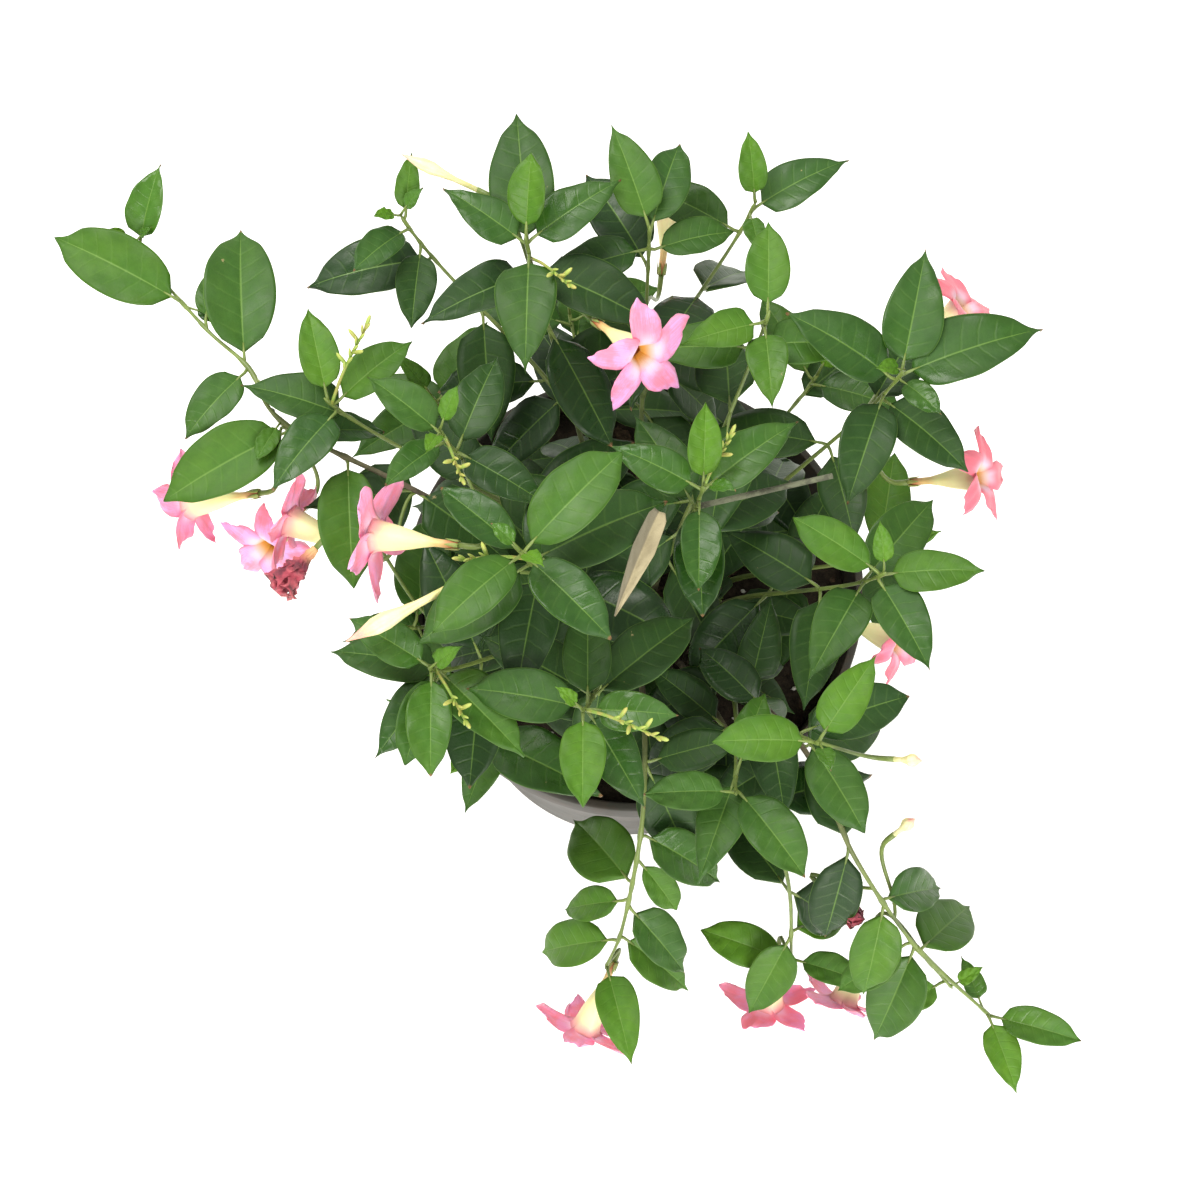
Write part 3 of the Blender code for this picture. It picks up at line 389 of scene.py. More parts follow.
# Each cane and its shoots. The first shoot rises from the soil, and the others leave it at a share of its
# length. A route lists the points on the way to the shoot's head, which comes last. Leaves that show are
# (distance below the head, bearing in degrees from +X, length). Where a shoot trails, droop is the pitch of
# its lower leaves.
CANES = {
    "cane_crest": [
        dict(route=[(-61, 124, 430)], leaves=[
            (2, 84, 34), (6, 33, 51), (8, 146, 46), (10, 95, 68), (14, -91, 62), (26, -26, 66), (30, 205, 58),
        ]),
        dict(at=0.5, route=[(-131, 152, 400)], leaves=[
            (0, 30, 14), (1, 210, 13), (5, 82, 27), (10, -131, 36), (22, -95, 42), (34, -168, 64),
        ]),
    ],
    "cane_top_left": [
        dict(route=[(-105, 16, 420)], leaves=[
            (1, 60, 18), (3, 250, 16), (10, 142, 44), (14, -136, 36), (28, -40, 50), (30, 70, 52),
        ]),
        dict(at=0.55, route=[(-170, 46, 392)], leaves=[
            (3, 103, 43), (8, 40, 46), (12, 235, 50), (22, 165, 54),
        ]),
    ],
    "cane_left_arm": [
        dict(route=[
            (-112, 4, 345), (-192, 38, 372), (-215, 72, 374), (-243, 100, 370), (-286, 155, 362),
        ], leaves=[
            (0, 170, 9), (1, 20, 9), (5, 73, 37), (12, 250, 14), (50, 153, 72), (54, -20, 20), (74, 85, 30),
            (108, 95, 76), (112, -130, 44), (118, -35, 26), (156, -150, 70), (148, -114, 22), (160, 10, 40),
            (190, -86, 64),
        ]),
    ],
    "cane_left_side": [
        dict(route=[(-134, -46, 272)], leaves=[
            (2, 200, 28), (8, 84, 66), (10, -70, 48), (22, 190, 46), (26, 60, 64),
        ]),
    ],
    "cane_centre": [
        dict(route=[(-61, -58, 440)], leaves=[
            (0, 150, 15), (1, -50, 17), (6, 45, 62), (8, -135, 54), (12, -46, 54), (14, 140, 48),
            (28, 26, 70), (32, -144, 62), (56, -100, 62), (60, 80, 56),
        ]),
    ],
    "cane_centre_right": [
        dict(route=[(33, -15, 420)], leaves=[
            (1, -31, 16), (4, 89, 34), (8, 155, 44), (10, 36, 54), (22, -91, 42), (36, -87, 52),
            (38, 120, 55),
        ]),
        dict(at=0.5, route=[(70, 87, 415)], leaves=[
            (4, 89, 43), (8, -161, 40), (10, -87, 42), (24, 0, 50), (26, 180, 52),
        ]),
    ],
    "cane_back": [
        dict(route=[(6, 135, 420)], leaves=[
            (3, 110, 52), (6, 73, 48), (18, 195, 54), (20, 15, 40), (32, 120, 60),
        ]),
        dict(at=0.55, route=[(65, 160, 400)], leaves=[
            (1, 100, 30), (6, 26, 52), (8, -83, 22), (22, 150, 52),
        ]),
    ],
    "cane_back_low": [
        dict(route=[(-40, 158, 268)], leaves=[
            (2, 100, 26), (8, 20, 50), (10, 170, 54), (24, 85, 52),
        ]),
    ],
    "cane_back_left": [
        dict(route=[(-124, 104, 264)], leaves=[
            (2, 140, 26), (8, 60, 50), (10, 215, 54), (24, 150, 54),
        ]),
    ],
    "cane_back_right": [
        dict(route=[(112, 118, 266)], leaves=[
            (2, 50, 28), (8, 120, 50), (10, -20, 50), (24, 40, 54),
        ]),
    ],
    "cane_right": [
        dict(route=[(143, 59, 400)], leaves=[
            (1, 200, 16), (4, 78, 60), (6, 16, 70), (9, -52, 26), (12, 155, 62), (26, -109, 58),
            (30, -42, 54), (40, 60, 58),
        ]),
    ],
    "cane_right_side": [
        dict(route=[(150, 2, 264)], leaves=[
            (2, 10, 28), (8, 80, 54), (10, -80, 54), (24, -10, 50),
        ]),
    ],
    "cane_right_front": [
        dict(route=[(130, -52, 388)], leaves=[
            (2, 100, 20), (6, 148, 46), (8, 0, 46), (12, -64, 50), (26, -120, 54), (28, 50, 54),
        ]),
    ],
    "cane_front_left": [
        dict(route=[(-110, -105, 388)], leaves=[
            (1, 20, 18), (4, -89, 48), (6, 150, 42), (12, -46, 58), (14, -107, 46), (28, -128, 52),
            (30, 170, 56),
        ]),
    ],
    "cane_front_left_low": [
        dict(route=[(-92, -114, 264)], leaves=[
            (2, -120, 26), (8, -28, 68), (10, 160, 52), (24, -110, 46),
        ]),
    ],
    "cane_front": [
        dict(route=[(-30, -131, 402)], leaves=[
            (0, 150, 14), (4, -90, 44), (6, -6, 40), (18, 170, 54), (22, -60, 52), (34, 90, 54), (58, 40, 62),
            (62, 150, 62),
        ]),
    ],
    "cane_front_right": [
        dict(route=[(94, -141, 372)], leaves=[
            (1, -80, 18), (4, 55, 46), (7, -178, 46), (18, -175, 38), (22, -60, 50), (34, 20, 56),
        ]),
        dict(at=0.5, route=[(52, -160, 335)], leaves=[
            (3, -176, 42), (6, -55, 52), (20, -110, 54), (22, 70, 40),
        ]),
    ],
    "cane_trailing_right": [
        dict(droop=-50, route=[
            (88, -120, 300), (118, -186, 300), (151, -220, 250), (186, -243, 190),
        ], leaves=[
            (2, 30, 16), (12, -148, 30), (52, 42, 60), (58, -112, 58), (64, -148, 40), (104, -100, 50),
            (108, 20, 48),
        ]),
        dict(at=0.86, route=[(214, -256, 158)], droop=-35, leaves=[
            (3, -17, 46), (6, -73, 40), (12, 110, 26),
        ]),
    ],
    "cane_trailing_middle": [
        dict(route=[(60, -128, 285), (84, -188, 262), (93, -228, 178)], droop=-50, leaves=[
            (4, 161, 48), (8, -20, 36), (34, -120, 50), (38, 30, 46),
        ]),
    ],
    "cane_trailing_front": [
        dict(route=[(4, -110, 290), (2, -168, 296), (-8, -215, 244), (-18, -234, 208)], droop=-45, leaves=[
            (3, -76, 50), (30, -178, 46), (34, -33, 50), (58, -44, 48), (62, 180, 36), (74, 125, 62),
            (92, -47, 32), (108, -23, 52),
        ]),
    ],
}


def smooth_route(knots, start_way, end_way, step):
    """Points on a smooth curve through the knots."""
    ways = [start_way.normalized() * (knots[1] - knots[0]).length]
    ways += [(after - before) / 2 for before, after in zip(knots, knots[2:])]
    ways += [end_way.normalized() * (knots[-1] - knots[-2]).length]
    points = [knots[0]]
    for a, b, leave, arrive in zip(knots, knots[1:], ways, ways[1:]):
        count = max(2, round((b - a).length * 1.1 / step))
        for t in (j / count for j in range(1, count + 1)):
            points.append(
                a * (2 * t**3 - 3 * t**2 + 1) + leave * (t**3 - 2 * t**2 + t)
                + b * (3 * t**2 - 2 * t**3) + arrive * (t**3 - t**2)
            )
    return points


def along(points, distance):
    """The point and the way at a distance from the start of a line of points."""
    for a, b in zip(points, points[1:]):
        span = (b - a).length
        if distance <= span:
            return a + (b - a) * max(0.0, distance / span), (b - a).normalized()
        distance -= span
    return points[-1].copy(), (points[-1] - points[-2]).normalized()


def line_length(points):
    """The length along a line of points."""
    return sum((b - a).length for a, b in zip(points, points[1:]))


def stem_point(cane, number, below):
    """The point and the way of a shoot at a distance below its head."""
    line = lines[cane, number]
    return along(line, line_length(line) - below)


def on_stem(cane, number, point):
    """The point of the drawn shoot that is nearest to a point."""
    return min(drawn[cane, number], key=lambda p: (p - point).length)


def tube(points, radii, sides):
    """A tube with flat ends along the points, with a radius at each."""
    side = (points[1] - points[0]).orthogonal().normalized()
    made = []
    for i, point in enumerate(points):
        way = (points[min(i + 1, len(points) - 1)] - points[max(i - 1, 0)]).normalized()
        side = (side - way * side.dot(way)).normalized()
        other = way.cross(side)
        for k in range(sides):
            angle = math.tau * k / sides
            made.append(point + (side * math.cos(angle) + other * math.sin(angle)) * radii[i])
    return made, ring_faces(len(points), sides)


# lines holds the routes of part.py, coarse, and drawn the finer ones that the stems follow
lines, drawn = {}, {}
for name, shoots in CANES.items():
    for number, shoot in enumerate(shoots):
        knots = [Vector(k) for k in shoot["route"]]
        head = knots[-1]
        if number == 0:
            foot = Vector((knots[0].x * FOOT_SHARE, knots[0].y * FOOT_SHARE, SOIL_TOP - HOLE_DEPTH))
            start, start_way, below_start = foot + Vector((0, 0, HOLE_DEPTH + 14)), Vector((0, 0, 1)), [foot]
        else:
            start, way = along(lines[name, 0], line_length(lines[name, 0]) * shoot["at"])
            start_way, below_start = way + (head - start).normalized(), []
        knots = [start] + knots
        end_way = (knots[-1] - knots[-2]).normalized() + Vector((0, 0, 0.0 if "droop" in shoot else 0.8))
        lines[name, number] = below_start + smooth_route(knots, start_way, end_way, STEM_STEP)
        drawn[name, number] = below_start + smooth_route(knots, start_way, end_way, FINE_STEP)

def mix(tree, share, one, other):
    """One colour turned into the other by a share."""
    inputs = {0: share, 6: colour_input(one), 7: colour_input(other)}
    return add(tree, "Mix", inputs, data_type="RGBA").outputs[2]


def read(tree, *labels):
    """The values at the points that a growth was given."""
    return [add(tree, "Attribute", attribute_name=label).outputs["Fac"] for label in labels]


SHOOT, tree, shader = finish("shoot_and_bark", Roughness=0.5)
(age,) = read(tree, "age")
green, _ = mottle(tree, (0.17, 0.235, 0.05), (0.1, 0.15, 0.035), 90.0, 0.7)
wood, _ = mottle(tree, (0.12, 0.095, 0.06), (0.06, 0.048, 0.032), 160.0, 0.9, 0.08)
colour = mix(tree, rise(tree, age, 0.1, 0.75), green, wood)
tree.links.new(rise(tree, age, 0.2, 0.8, 0.85, 0.42), shader.inputs["Roughness"])
cover(tree, shader, colour, 260.0, 1400.0, 0.5, 0.5)

shoots_of = {name: Growth() for name in CANES}
for (name, number), line in drawn.items():
    thick = CANE_RADIUS if number == 0 else SHOOT_RADIUS
    whole = line_length(line)
    joints = [below for below, _, _ in CANES[name][number]["leaves"]]
    radii, ages, travelled = [], [], 0.0
    for i, point in enumerate(line):
        travelled += (point - line[i - 1]).length if i else 0.0
        below = whole - travelled
        knuckle = min(1.0, sum(math.exp(-((below - joint) / KNUCKLE_LENGTH) ** 2) for joint in joints))
        slender = 1 - SLENDER * math.sqrt(travelled / whole)
        radii.append((thick + (TIP_RADIUS - thick) * travelled / whole) * slender * (1 + KNUCKLE * knuckle))
        ages.append((below - GREEN_WOOD) / (OLD_WOOD - GREEN_WOOD))
    radii[-1] *= TIP_ROUNDING
    shoots_of[name].take(*tube(line, radii, STEM_SIDES), age=np.repeat(ages, STEM_SIDES))


# The leaves grow in opposite pairs: elliptic blades with a drip tip, glossy above, folded a little along a
# pale midrib, with curved side veins sunk between low pillows. Young ones are yellow-green and old ones dark.
LEAF_WIDTH_SHARE = 0.54
PETIOLE_LENGTH = 7.0
PETIOLE_SIDES = 7
SHOWN_ARCH = 1.06
LONGEST_ARCH = 1.16
INTERNODE = 58.0
LOWEST_LEAF_NODE = 212.0
TIP_MATCH = 0.05
CAD_STOPS = {True: (0.16, 0.42, 0.74), False: (0.27, 0.66)}
BLADE = 0.45
VEIN_PAIRS = 8
ROWS_PER_VEIN = {True: 4, False: 2}
BLADE_COLUMNS = {True: (0.05, 0.14, 0.32, 0.52, 0.74, 0.9, 1.0), False: (0.07, 0.35, 0.7, 1.0)}
VEIN_LEAN = 0.3
PILLOW = 0.0045
COCKLE = 0.6
MARGIN_CURL = 0.07
GROOVE = 0.25
RIB = 0.35
RIB_FOOT = 0.75
# What differs from blade to blade: its breadth, how lopsided it is, its fold, and the waves of its margin
FULLNESS = (0.9, 1.0)
SKEW = 0.07
FOLD_MORE = (1.0, 1.6)
WAVE = (0.03, 0.085)
WAVE_BEATS = (0.8, 1.9)


def bearing_way(bearing, pitch):
    """The unit vector with this bearing from +X and this pitch above the level."""
    bearing, pitch = math.radians(bearing), math.radians(pitch)
    return Vector((math.cos(bearing) * math.cos(pitch), math.sin(bearing) * math.cos(pitch), math.sin(pitch)))


def leaf_line(leaf, shares):
    """Points along a midrib that arches over, each with the way across the leaf and its normal there."""
    stops, point, travelled = [], Vector(leaf["root"]), 0.0
    whole, turn = PETIOLE_LENGTH + leaf["length"], math.radians(leaf["roll"])
    for share in shares:
        reach = share * whole
        while travelled < reach - 1e-6:
            ahead = min(4.0, reach - travelled)
            middle = (travelled + ahead / 2) / whole
            slope = leaf["pitch"] + leaf["bend"] * (0.5 - middle)
            point = point + bearing_way(leaf["bearing"], slope) * ahead
            travelled += ahead
        angle = leaf["pitch"] + leaf["bend"] * (0.5 - share)
        normal = bearing_way(leaf["bearing"], angle + 90)
        across = normal.cross(bearing_way(leaf["bearing"], angle))
        stops.append((
            point,
            across * math.cos(turn) + normal * math.sin(turn),
            normal * math.cos(turn) - across * math.sin(turn),
        ))
    return stops


def placed(cane, leaf, changes):
    """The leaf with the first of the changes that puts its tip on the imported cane's own leaf tip."""
    for swing, tip_up, shorter in changes:
        tried = dict(leaf, bearing=leaf["bearing"] + swing, pitch=leaf["pitch"] + tip_up)
        tried["length"] *= shorter
        tried["width"] *= shorter
        stalk = PETIOLE_LENGTH / (PETIOLE_LENGTH + tried["length"])
        shares = [0.0, stalk] + [stalk + (1 - stalk) * share for share in CAD_STOPS[leaf["broad"]]] + [1.0]
        tip = leaf_line(tried, shares)[-1][0]
        if packed_points[cane].find(tip * MM)[2] < TIP_MATCH * MM:
            return tried
    return None


def closed_sheet(top, under):
    """A thin closed blade between two grids of points, with rows along it: its points, faces and sides."""
    rows, columns = top.shape[:2]
    other = rows * columns
    faces, sides = [], []
    for r in range(rows - 1):
        for c in range(columns - 1):
            a = r * columns + c
            faces += [(a, a + columns, a + columns + 1, a + 1)]
            faces += [(a + other, a + 1 + other, a + columns + 1 + other, a + columns + other)]
            sides += [0, 1]
    edge = [((r * columns), (r + 1) * columns) for r in range(rows - 1)]
    faces += [(a, a + other, b + other, b) for a, b in edge]
    faces += [(a, b, b + other, a + other) for a, b in [(a + columns - 1, b + columns - 1) for a, b in edge]]
    faces += [(c, c + 1, c + 1 + other, c + other) for c in range(columns - 1)]
    last = other - columns
    faces += [(last + c, last + c + other, last + c + 1 + other, last + c + 1) for c in range(columns - 1)]
    sides += [0] * (len(faces) - len(sides))
    return np.concatenate([top.reshape(-1, 3), under.reshape(-1, 3)]), faces, sides


def outline(share, fullness):
    """Half the blade's width at a share of its length, as a share of the widest: round base, drip tip."""
    base, taper = 0.54 + 0.1 * fullness, 0.95 - 0.2 * fullness
    widest = base / (base + taper)
    shape = share**base * (1 - share) ** taper / (widest**base * (1 - widest) ** taper)
    tip = np.clip((share - 0.8) / 0.16, 0, 1)
    return shape * (1 - (0.42 - 0.12 * fullness) * tip * tip * (3 - 2 * tip))


def grow_blade(growth, leaf, shown, age, dice, shape=outline):
    """A leaf blade with its fold, vein pillows and waved margin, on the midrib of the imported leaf."""
    columns, rows = BLADE_COLUMNS[shown], VEIN_PAIRS * ROWS_PER_VEIN[shown]
    u = np.array([-c for c in reversed(columns)] + [0.0] + list(columns))[None, :]
    v = np.linspace(0, 1, rows + 1)[:, None]
    share = np.clip(v + VEIN_LEAN * np.abs(u) ** 1.2 * np.sqrt(v) * (1 - v), 0, 1)
    stalk = PETIOLE_LENGTH / (PETIOLE_LENGTH + leaf["length"])
    stations = np.linspace(stalk, 1, 41)
    stops = leaf_line(leaf, [0.0] + list(stations))[1:]
    at = stalk + (1 - stalk) * share
    line, side, normal = (
        np.stack([np.interp(at, stations, [stop[k][axis] for stop in stops]) for axis in range(3)], -1)
        for k in range(3)
    )
    half = leaf["width"] / 2 * dice.uniform(*FULLNESS)
    wide = np.maximum(half * shape(share, dice.uniform(-1, 1)), 0.12)
    wide = wide * (1 + dice.uniform(-SKEW, SKEW) * np.sign(u))
    fold = math.radians(leaf["fold"]) * dice.uniform(*FOLD_MORE)
    out = np.abs(u)
    lift = wide * math.sin(fold) * out**1.15
    crest = half * dice.uniform(*WAVE)
    turn, beats = dice.uniform(0, math.tau), dice.uniform(*WAVE_BEATS)
    wave = np.sin(math.tau * beats * share + turn + (u > 0) * dice.uniform(1, 3))
    lift += crest * wave * out**2 * share * 1.6
    lift -= half * MARGIN_CURL * out**4
    lift += COCKLE * np.sin(7 * u + turn) * np.sin(3.3 * math.tau * share + 2 * turn) * np.sqrt(out)
    pillow = np.abs(np.sin(math.pi * VEIN_PAIRS * v)) ** 0.8 * np.clip(out / 0.2, 0, 1) * (1 - out**3)
    lift += PILLOW * leaf["width"] * pillow * (0.5 + 0.5 * age)
    groove = np.exp(-((out * wide / 0.9) ** 2))
    upper = lift - GROOVE * groove * (1 - v)
    rib = (RIB + RIB_FOOT * (1 - v)) * np.exp(-((out * wide) ** 2))
    thick = BLADE * (1 - 0.6 * out**6)
    sideways = (side * (wide * u * math.cos(fold))[..., None]) + line
    top = sideways + normal * (upper + thick / 2)[..., None]
    under = sideways + normal * (lift - thick / 2 - rib)[..., None]
    across, along_it = (np.tile(np.broadcast_to(value, share.shape).ravel(), 2) for value in (u, v))
    growth.take(*closed_sheet(top, under), across=across, along=along_it, age=age, tone=dice.random())


# Veins draws the pale midrib, the side veins and the thin margin line of a blade, a painted highlight where
# light catches the edge.
VEINS, given, out = group(
    "veins",
    {"Across": 0.0, "Along": 0.0},
    {"Midrib": "Float", "Side veins": "Float", "Margin": "Float"},
)
off = maths(VEINS, "ABSOLUTE", given["Across"])
wobble = add(VEINS, "TexNoise", {"Vector": add(VEINS, "TexCoord").outputs["Object"], "Scale": 160.0})
counted = maths(VEINS, "MULTIPLY", given["Along"], VEIN_PAIRS)
shifted = maths(VEINS, "ADD", counted, maths(VEINS, "MULTIPLY", wobble.outputs["Fac"], 0.22))
nearest = maths(VEINS, "PINGPONG", maths(VEINS, "SUBTRACT", shifted, 0.11), 0.5)
inner = rise(VEINS, off, 0.55, 0.95, 0.0, 1.0)
VEINS.links.new(rise(VEINS, off, 0.008, 0.045, 0.0, 1.0), out["Midrib"])
VEINS.links.new(maths(VEINS, "MULTIPLY", rise(VEINS, nearest, 0.0, 0.12, 0.0, 1.0), inner), out["Side veins"])
VEINS.links.new(rise(VEINS, off, 0.965, 1.0), out["Margin"])


def shifted_hue(tree, colour, value, hue=0.5, saturation=1.0):
    """The colour made darker or brighter, with its hue and its strength shifted."""
    inputs = {"Color": colour, "Hue": hue, "Saturation": saturation, "Value": value}
    return add(tree, "HueSaturation", inputs).outputs[0]


def leaf_finish(name, young, grown, old, pale, side_share, relief, **sockets):
    """A leaf's face: its colour by age, tone and place, painted shade darkening it towards the margin, its
    paler veins, a thin margin line of painted highlight, and its brown specks.
    """
    made, tree, shader = finish(name, **sockets)
    across, along_it, age, tone = read(tree, "across", "along", "age", "tone")
    veins = add(tree, "Group", {"Across": across, "Along": along_it}, node_tree=VEINS).outputs
    colour = mix(tree, rise(tree, age, 0.0, 0.55), young, grown)
    colour = mix(tree, rise(tree, age, 0.55, 1.0), colour, old)
    colour = mix(tree, rise(tree, tone, 0.0, 1.0), colour, shifted_hue(tree, colour, 0.66, 0.515, 0.92))
    colour, _ = mottle(tree, colour, shifted_hue(tree, colour, 1.3, 0.485), 45.0, 0.6, 0.2)
    colour, _ = mottle(tree, colour, shifted_hue(tree, colour, 0.74), 240.0, 0.4, 0.16)
    # Painted shade: the blade darkens from its middle towards its margin.
    outer = rise(tree, maths(tree, "ABSOLUTE", across), 0.25, 1.0, 0.6)
    colour = mix(tree, outer, colour, shifted_hue(tree, colour, 0.7, 0.5, 1.05))
    # The margin line is painted highlight along the blade's edge.
    for label, share in (("Side veins", side_share), ("Midrib", 0.55), ("Margin", 0.45)):
        colour = mix(tree, maths(tree, "MULTIPLY", veins[label], share), colour, pale)
    colour, _ = mottle(tree, colour, (0.3, 0.25, 0.11), 70.0, 0.8, 0.012, 0.735)
    withered = maths(tree, "MULTIPLY", rise(tree, along_it, 0.955, 0.985), rise(tree, tone, 0.5, 0.6))
    colour = mix(tree, withered, colour, (0.2, 0.11, 0.045))
    height = maths(tree, "MULTIPLY", maths(tree, "MAXIMUM", veins["Side veins"], veins["Midrib"]), relief)
    cover(tree, shader, colour, 420.0, 2200.0, 0.3, 0.5, height)
    return made, tree, shader


LEAF_TOP, tree, shader = leaf_finish(
    "leaf_green", (0.09, 0.235, 0.006), (0.037, 0.118, 0.006), (0.016, 0.06, 0.005), (0.14, 0.26, 0.045),
    0.09, -0.8, Specular_IOR_Level=0.36,
)
_, patches = mottle(tree, (0.0, 0.0, 0.0), (1.0, 1.0, 1.0), 30.0, 1.0, 0.16)
(tone,) = read(tree, "tone")
wet = maths(tree, "MULTIPLY", patches, rise(tree, tone, 0.55, 0.8, 1.0, 0.45))
tree.links.new(rise(tree, wet, 0.0, 0.9, 0.25, 0.6), shader.inputs["Roughness"])
LEAF_UNDER, tree, shader = leaf_finish(
    "leaf_underside", (0.13, 0.225, 0.05), (0.08, 0.15, 0.045), (0.06, 0.115, 0.04), (0.17, 0.25, 0.09),
    0.35, 1.5, Roughness=0.6, Specular_IOR_Level=0.3,
)

packed_points = {}
for name in CANES:
    vertices = frame["nodes"][name].data.vertices
    packed_points[name] = kdtree.KDTree(len(vertices))
    for vertex in vertices:
        packed_points[name].insert(vertex.co, vertex.index)
    packed_points[name].balance()

# What may change in a leaf so that it clears its neighbours: its bearing and pitch in degrees, and its length
TURNS = (
    (0, 9), (0, -9), (9, 0), (-9, 0), (0, 18), (0, -18), (10, 12), (-10, 12), (10, -12), (-10, -12), (0, 28),
)
SHOWN_CHANGES = [(0, 0, 1.0)] + [(*turn, shorter) for shorter in (1.0, 0.9, 0.8) for turn in TURNS]
HIDDEN_CHANGES = 24
# Canes whose leaves are darker or paler than their places on the shoot would make them
AGEING = {
    "cane_left_arm": 0.45, "cane_crest": 1.5, "cane_back": 1.3, "cane_top_left": 1.15, "cane_right": 1.2,
}
TRAILING_AGEING = 0.35
YOUNG_WITHIN = 16.0
OLD_BELOW = 45.0
LONGEST_LEAF = 74.0
LEVEL_DROOP = -8
rng = random.Random(7)
leaves = []
for name, shoots in CANES.items():
    for number, shoot in enumerate(shoots):
        droop = shoot.get("droop", LEVEL_DROOP)
        for below, bearing, length in shoot["leaves"]:
            root, _ = stem_point(name, number, below)
            young = max(0.0, 1 - below / YOUNG_WITHIN)
            pitch = 4 + (44 if length < 40 else 10) * young + droop * min(1, below / 30)
            length = length * min(LONGEST_ARCH, SHOWN_ARCH / math.cos(math.radians(pitch)))
            leaf = dict(
                root=root, bearing=bearing, pitch=pitch, length=length, width=length * LEAF_WIDTH_SHARE,
                bend=26 + rng.uniform(0, 16), roll=rng.uniform(-10, 10), fold=rng.uniform(8, 18),
                broad=length > 30 and below < 20,
            )
            age = min(1.0, 0.75 * (below / OLD_BELOW) ** 0.7 + 0.25 * length / LONGEST_LEAF)
            age = min(1.0, age * (TRAILING_AGEING if "droop" in shoot else AGEING.get(name, 1.0)))
            leaves.append((name, number, placed(name, leaf, SHOWN_CHANGES), True, age))
for name, shoots in CANES.items():
    for number, shoot in enumerate(shoots):
        whole = line_length(lines[name, number])
        below = max(below for below, _, _ in shoot["leaves"]) + INTERNODE * 0.7
        bearing = shoot["leaves"][-1][1] + 90
        while below < whole:
            root, _ = stem_point(name, number, below)
            if root.z < LOWEST_LEAF_NODE:
                break
            for side in (0, 180):
                length = rng.uniform(60, LONGEST_LEAF)
                outward = math.cos(math.radians(bearing + side) - math.atan2(root.y, root.x))
                pitch = -14 - 26 * max(0, outward) * min(1, root.xy.length / 100)
                pitch -= 14 * (440 - root.z) / 200
                leaf = dict(
                    root=root, bearing=bearing + side + rng.uniform(-15, 15),
                    pitch=pitch + rng.uniform(-8, 8), length=length, width=length * LEAF_WIDTH_SHARE,
                    bend=rng.uniform(18, 40), roll=rng.uniform(-16, 16), fold=rng.uniform(6, 14), broad=False,
                )
                changes = [(0, 0, 1.0)]
                for _ in range(HIDDEN_CHANGES):
                    turn = rng.uniform(-50, 50), rng.uniform(-30, 45)
                    changes.append((*turn, rng.choice((1.0, 0.9, 0.8))))
                leaves.append((name, number, placed(name, leaf, changes), False, 0.95))
            bearing += 90
            below += INTERNODE * rng.uniform(0.85, 1.1)

dice = random.Random(23)
blades_of = {name: Growth() for name in CANES}
for name, number, leaf, shown, age in leaves:
    if leaf is None:
        continue
    grow_blade(blades_of[name], leaf, shown, age, dice)
    stalk = PETIOLE_LENGTH / (PETIOLE_LENGTH + leaf["length"])
    spots = [stop[0] for stop in leaf_line(leaf, [0.0, stalk * 0.5, stalk, stalk + 0.06])]
    spots[0] = on_stem(name, number, spots[0])
    radii = [1.1, 0.95, 0.85, 0.5] if leaf["length"] > 30 else [0.9, 0.7, 0.6, 0.35]
    shoots_of[name].take(*tube(spots, radii, PETIOLE_SIDES), age=0.1 * age)
for name, growth in blades_of.items():
    growth.make("leaves_of_" + name, [LEAF_TOP, LEAF_UNDER], "leaf_green", name)


# Flowers, buds and old blooms stand on thin green stalks, and loose sprays of small pointed buds stand near
# the shoots' heads. The stalks and sprays grow from the same shoots, so they are part of each cane.
PEDICEL_NECK = 6.0
GAP = 0.3
TUBE_LENGTH = 50.0

# Each bloom: the cane whose first shoot bears it, the distance below that shoot's head where its stalk
# leaves, the middle of its throat, the way it faces, its span as a share of a full one, and its turn.
BLOOMS = [
    ("bloom_star", "cane_crest", 34, (4, 52, 430), (0.56, -0.67, 0.49), 1.05, 62),
    ("bloom_left_facing", "cane_top_left", 40, (-141, -38, 408), (-0.94, 0.21, -0.26), 1.12, 30),
    ("bloom_left_outer", "cane_left_arm", 150, (-253, 7, 334), (-0.89, 0.05, -0.45), 0.95, 0),
    ("bloom_left_lower", "cane_left_arm", 140, (-213, -14, 310), (-0.41, -0.77, 0.49), 0.95, 20),
    ("bloom_left_inner", "cane_left_arm", 232, (-194, -9, 352), (-0.91, 0.42, -0.03), 0.95, 50),
    ("bloom_right_back", "cane_right", 52, (186, 116, 366), (0.62, 0.4, 0.68), 0.95, 40),
    ("bloom_right", "cane_right", 62, (197, 22, 338), (0.8, -0.15, 0.58), 0.9, 5),
    ("bloom_right_front", "cane_right_front", 50, (150, -70, 312), (0.75, -0.5, 0.43), 0.85, 60),
    ("bloom_hanging", "cane_trailing_front", 6, (-31, -266, 166), (-0.37, -0.77, -0.52), 1.0, 15),
    ("bloom_middle", "cane_trailing_middle", 5, (82, -246, 132), (-0.08, -0.62, -0.78), 1.0, 35),
    ("bloom_front_right", "cane_trailing_right", 30, (125, -248, 150), (-0.35, -0.85, -0.4), 0.95, 55),
    ("bloom_back", "cane_back", 60, (20, 196, 350), (0.1, 0.8, 0.6), 0.95, 25),
]

# Old blooms and closed buds: name, cane, distance, base, way, length, widest radius
FADED_BLOOMS = [
    ("faded_bloom_left", "cane_left_side", 30, (-175, -30, 364), (-0.67, -0.73, -0.13), 32, 6.0),
    ("faded_bloom_right", "cane_trailing_right", 118, (104, -196, 262), (0.5, -0.5, 0.1), 30, 3.4),
]
BUDS = [
    ("bud_back_left", "cane_crest", 40, (-88, 161, 412), (-0.9, 0.34, 0.25), 46, 3.8),
    ("bud_left", "cane_centre", 66, (-99, -67, 408), (-0.88, -0.47, -0.06), 60, 5.0),
    ("bud_front_right", "cane_front_right", 12, (137, -141, 338), (0.7, -0.2, 0.6), 18, 3.6),
    ("bud_trailing_right", "cane_trailing_right", 88, (142, -172, 290), (0.5, 0.3, 0.7), 18, 3.6),
]

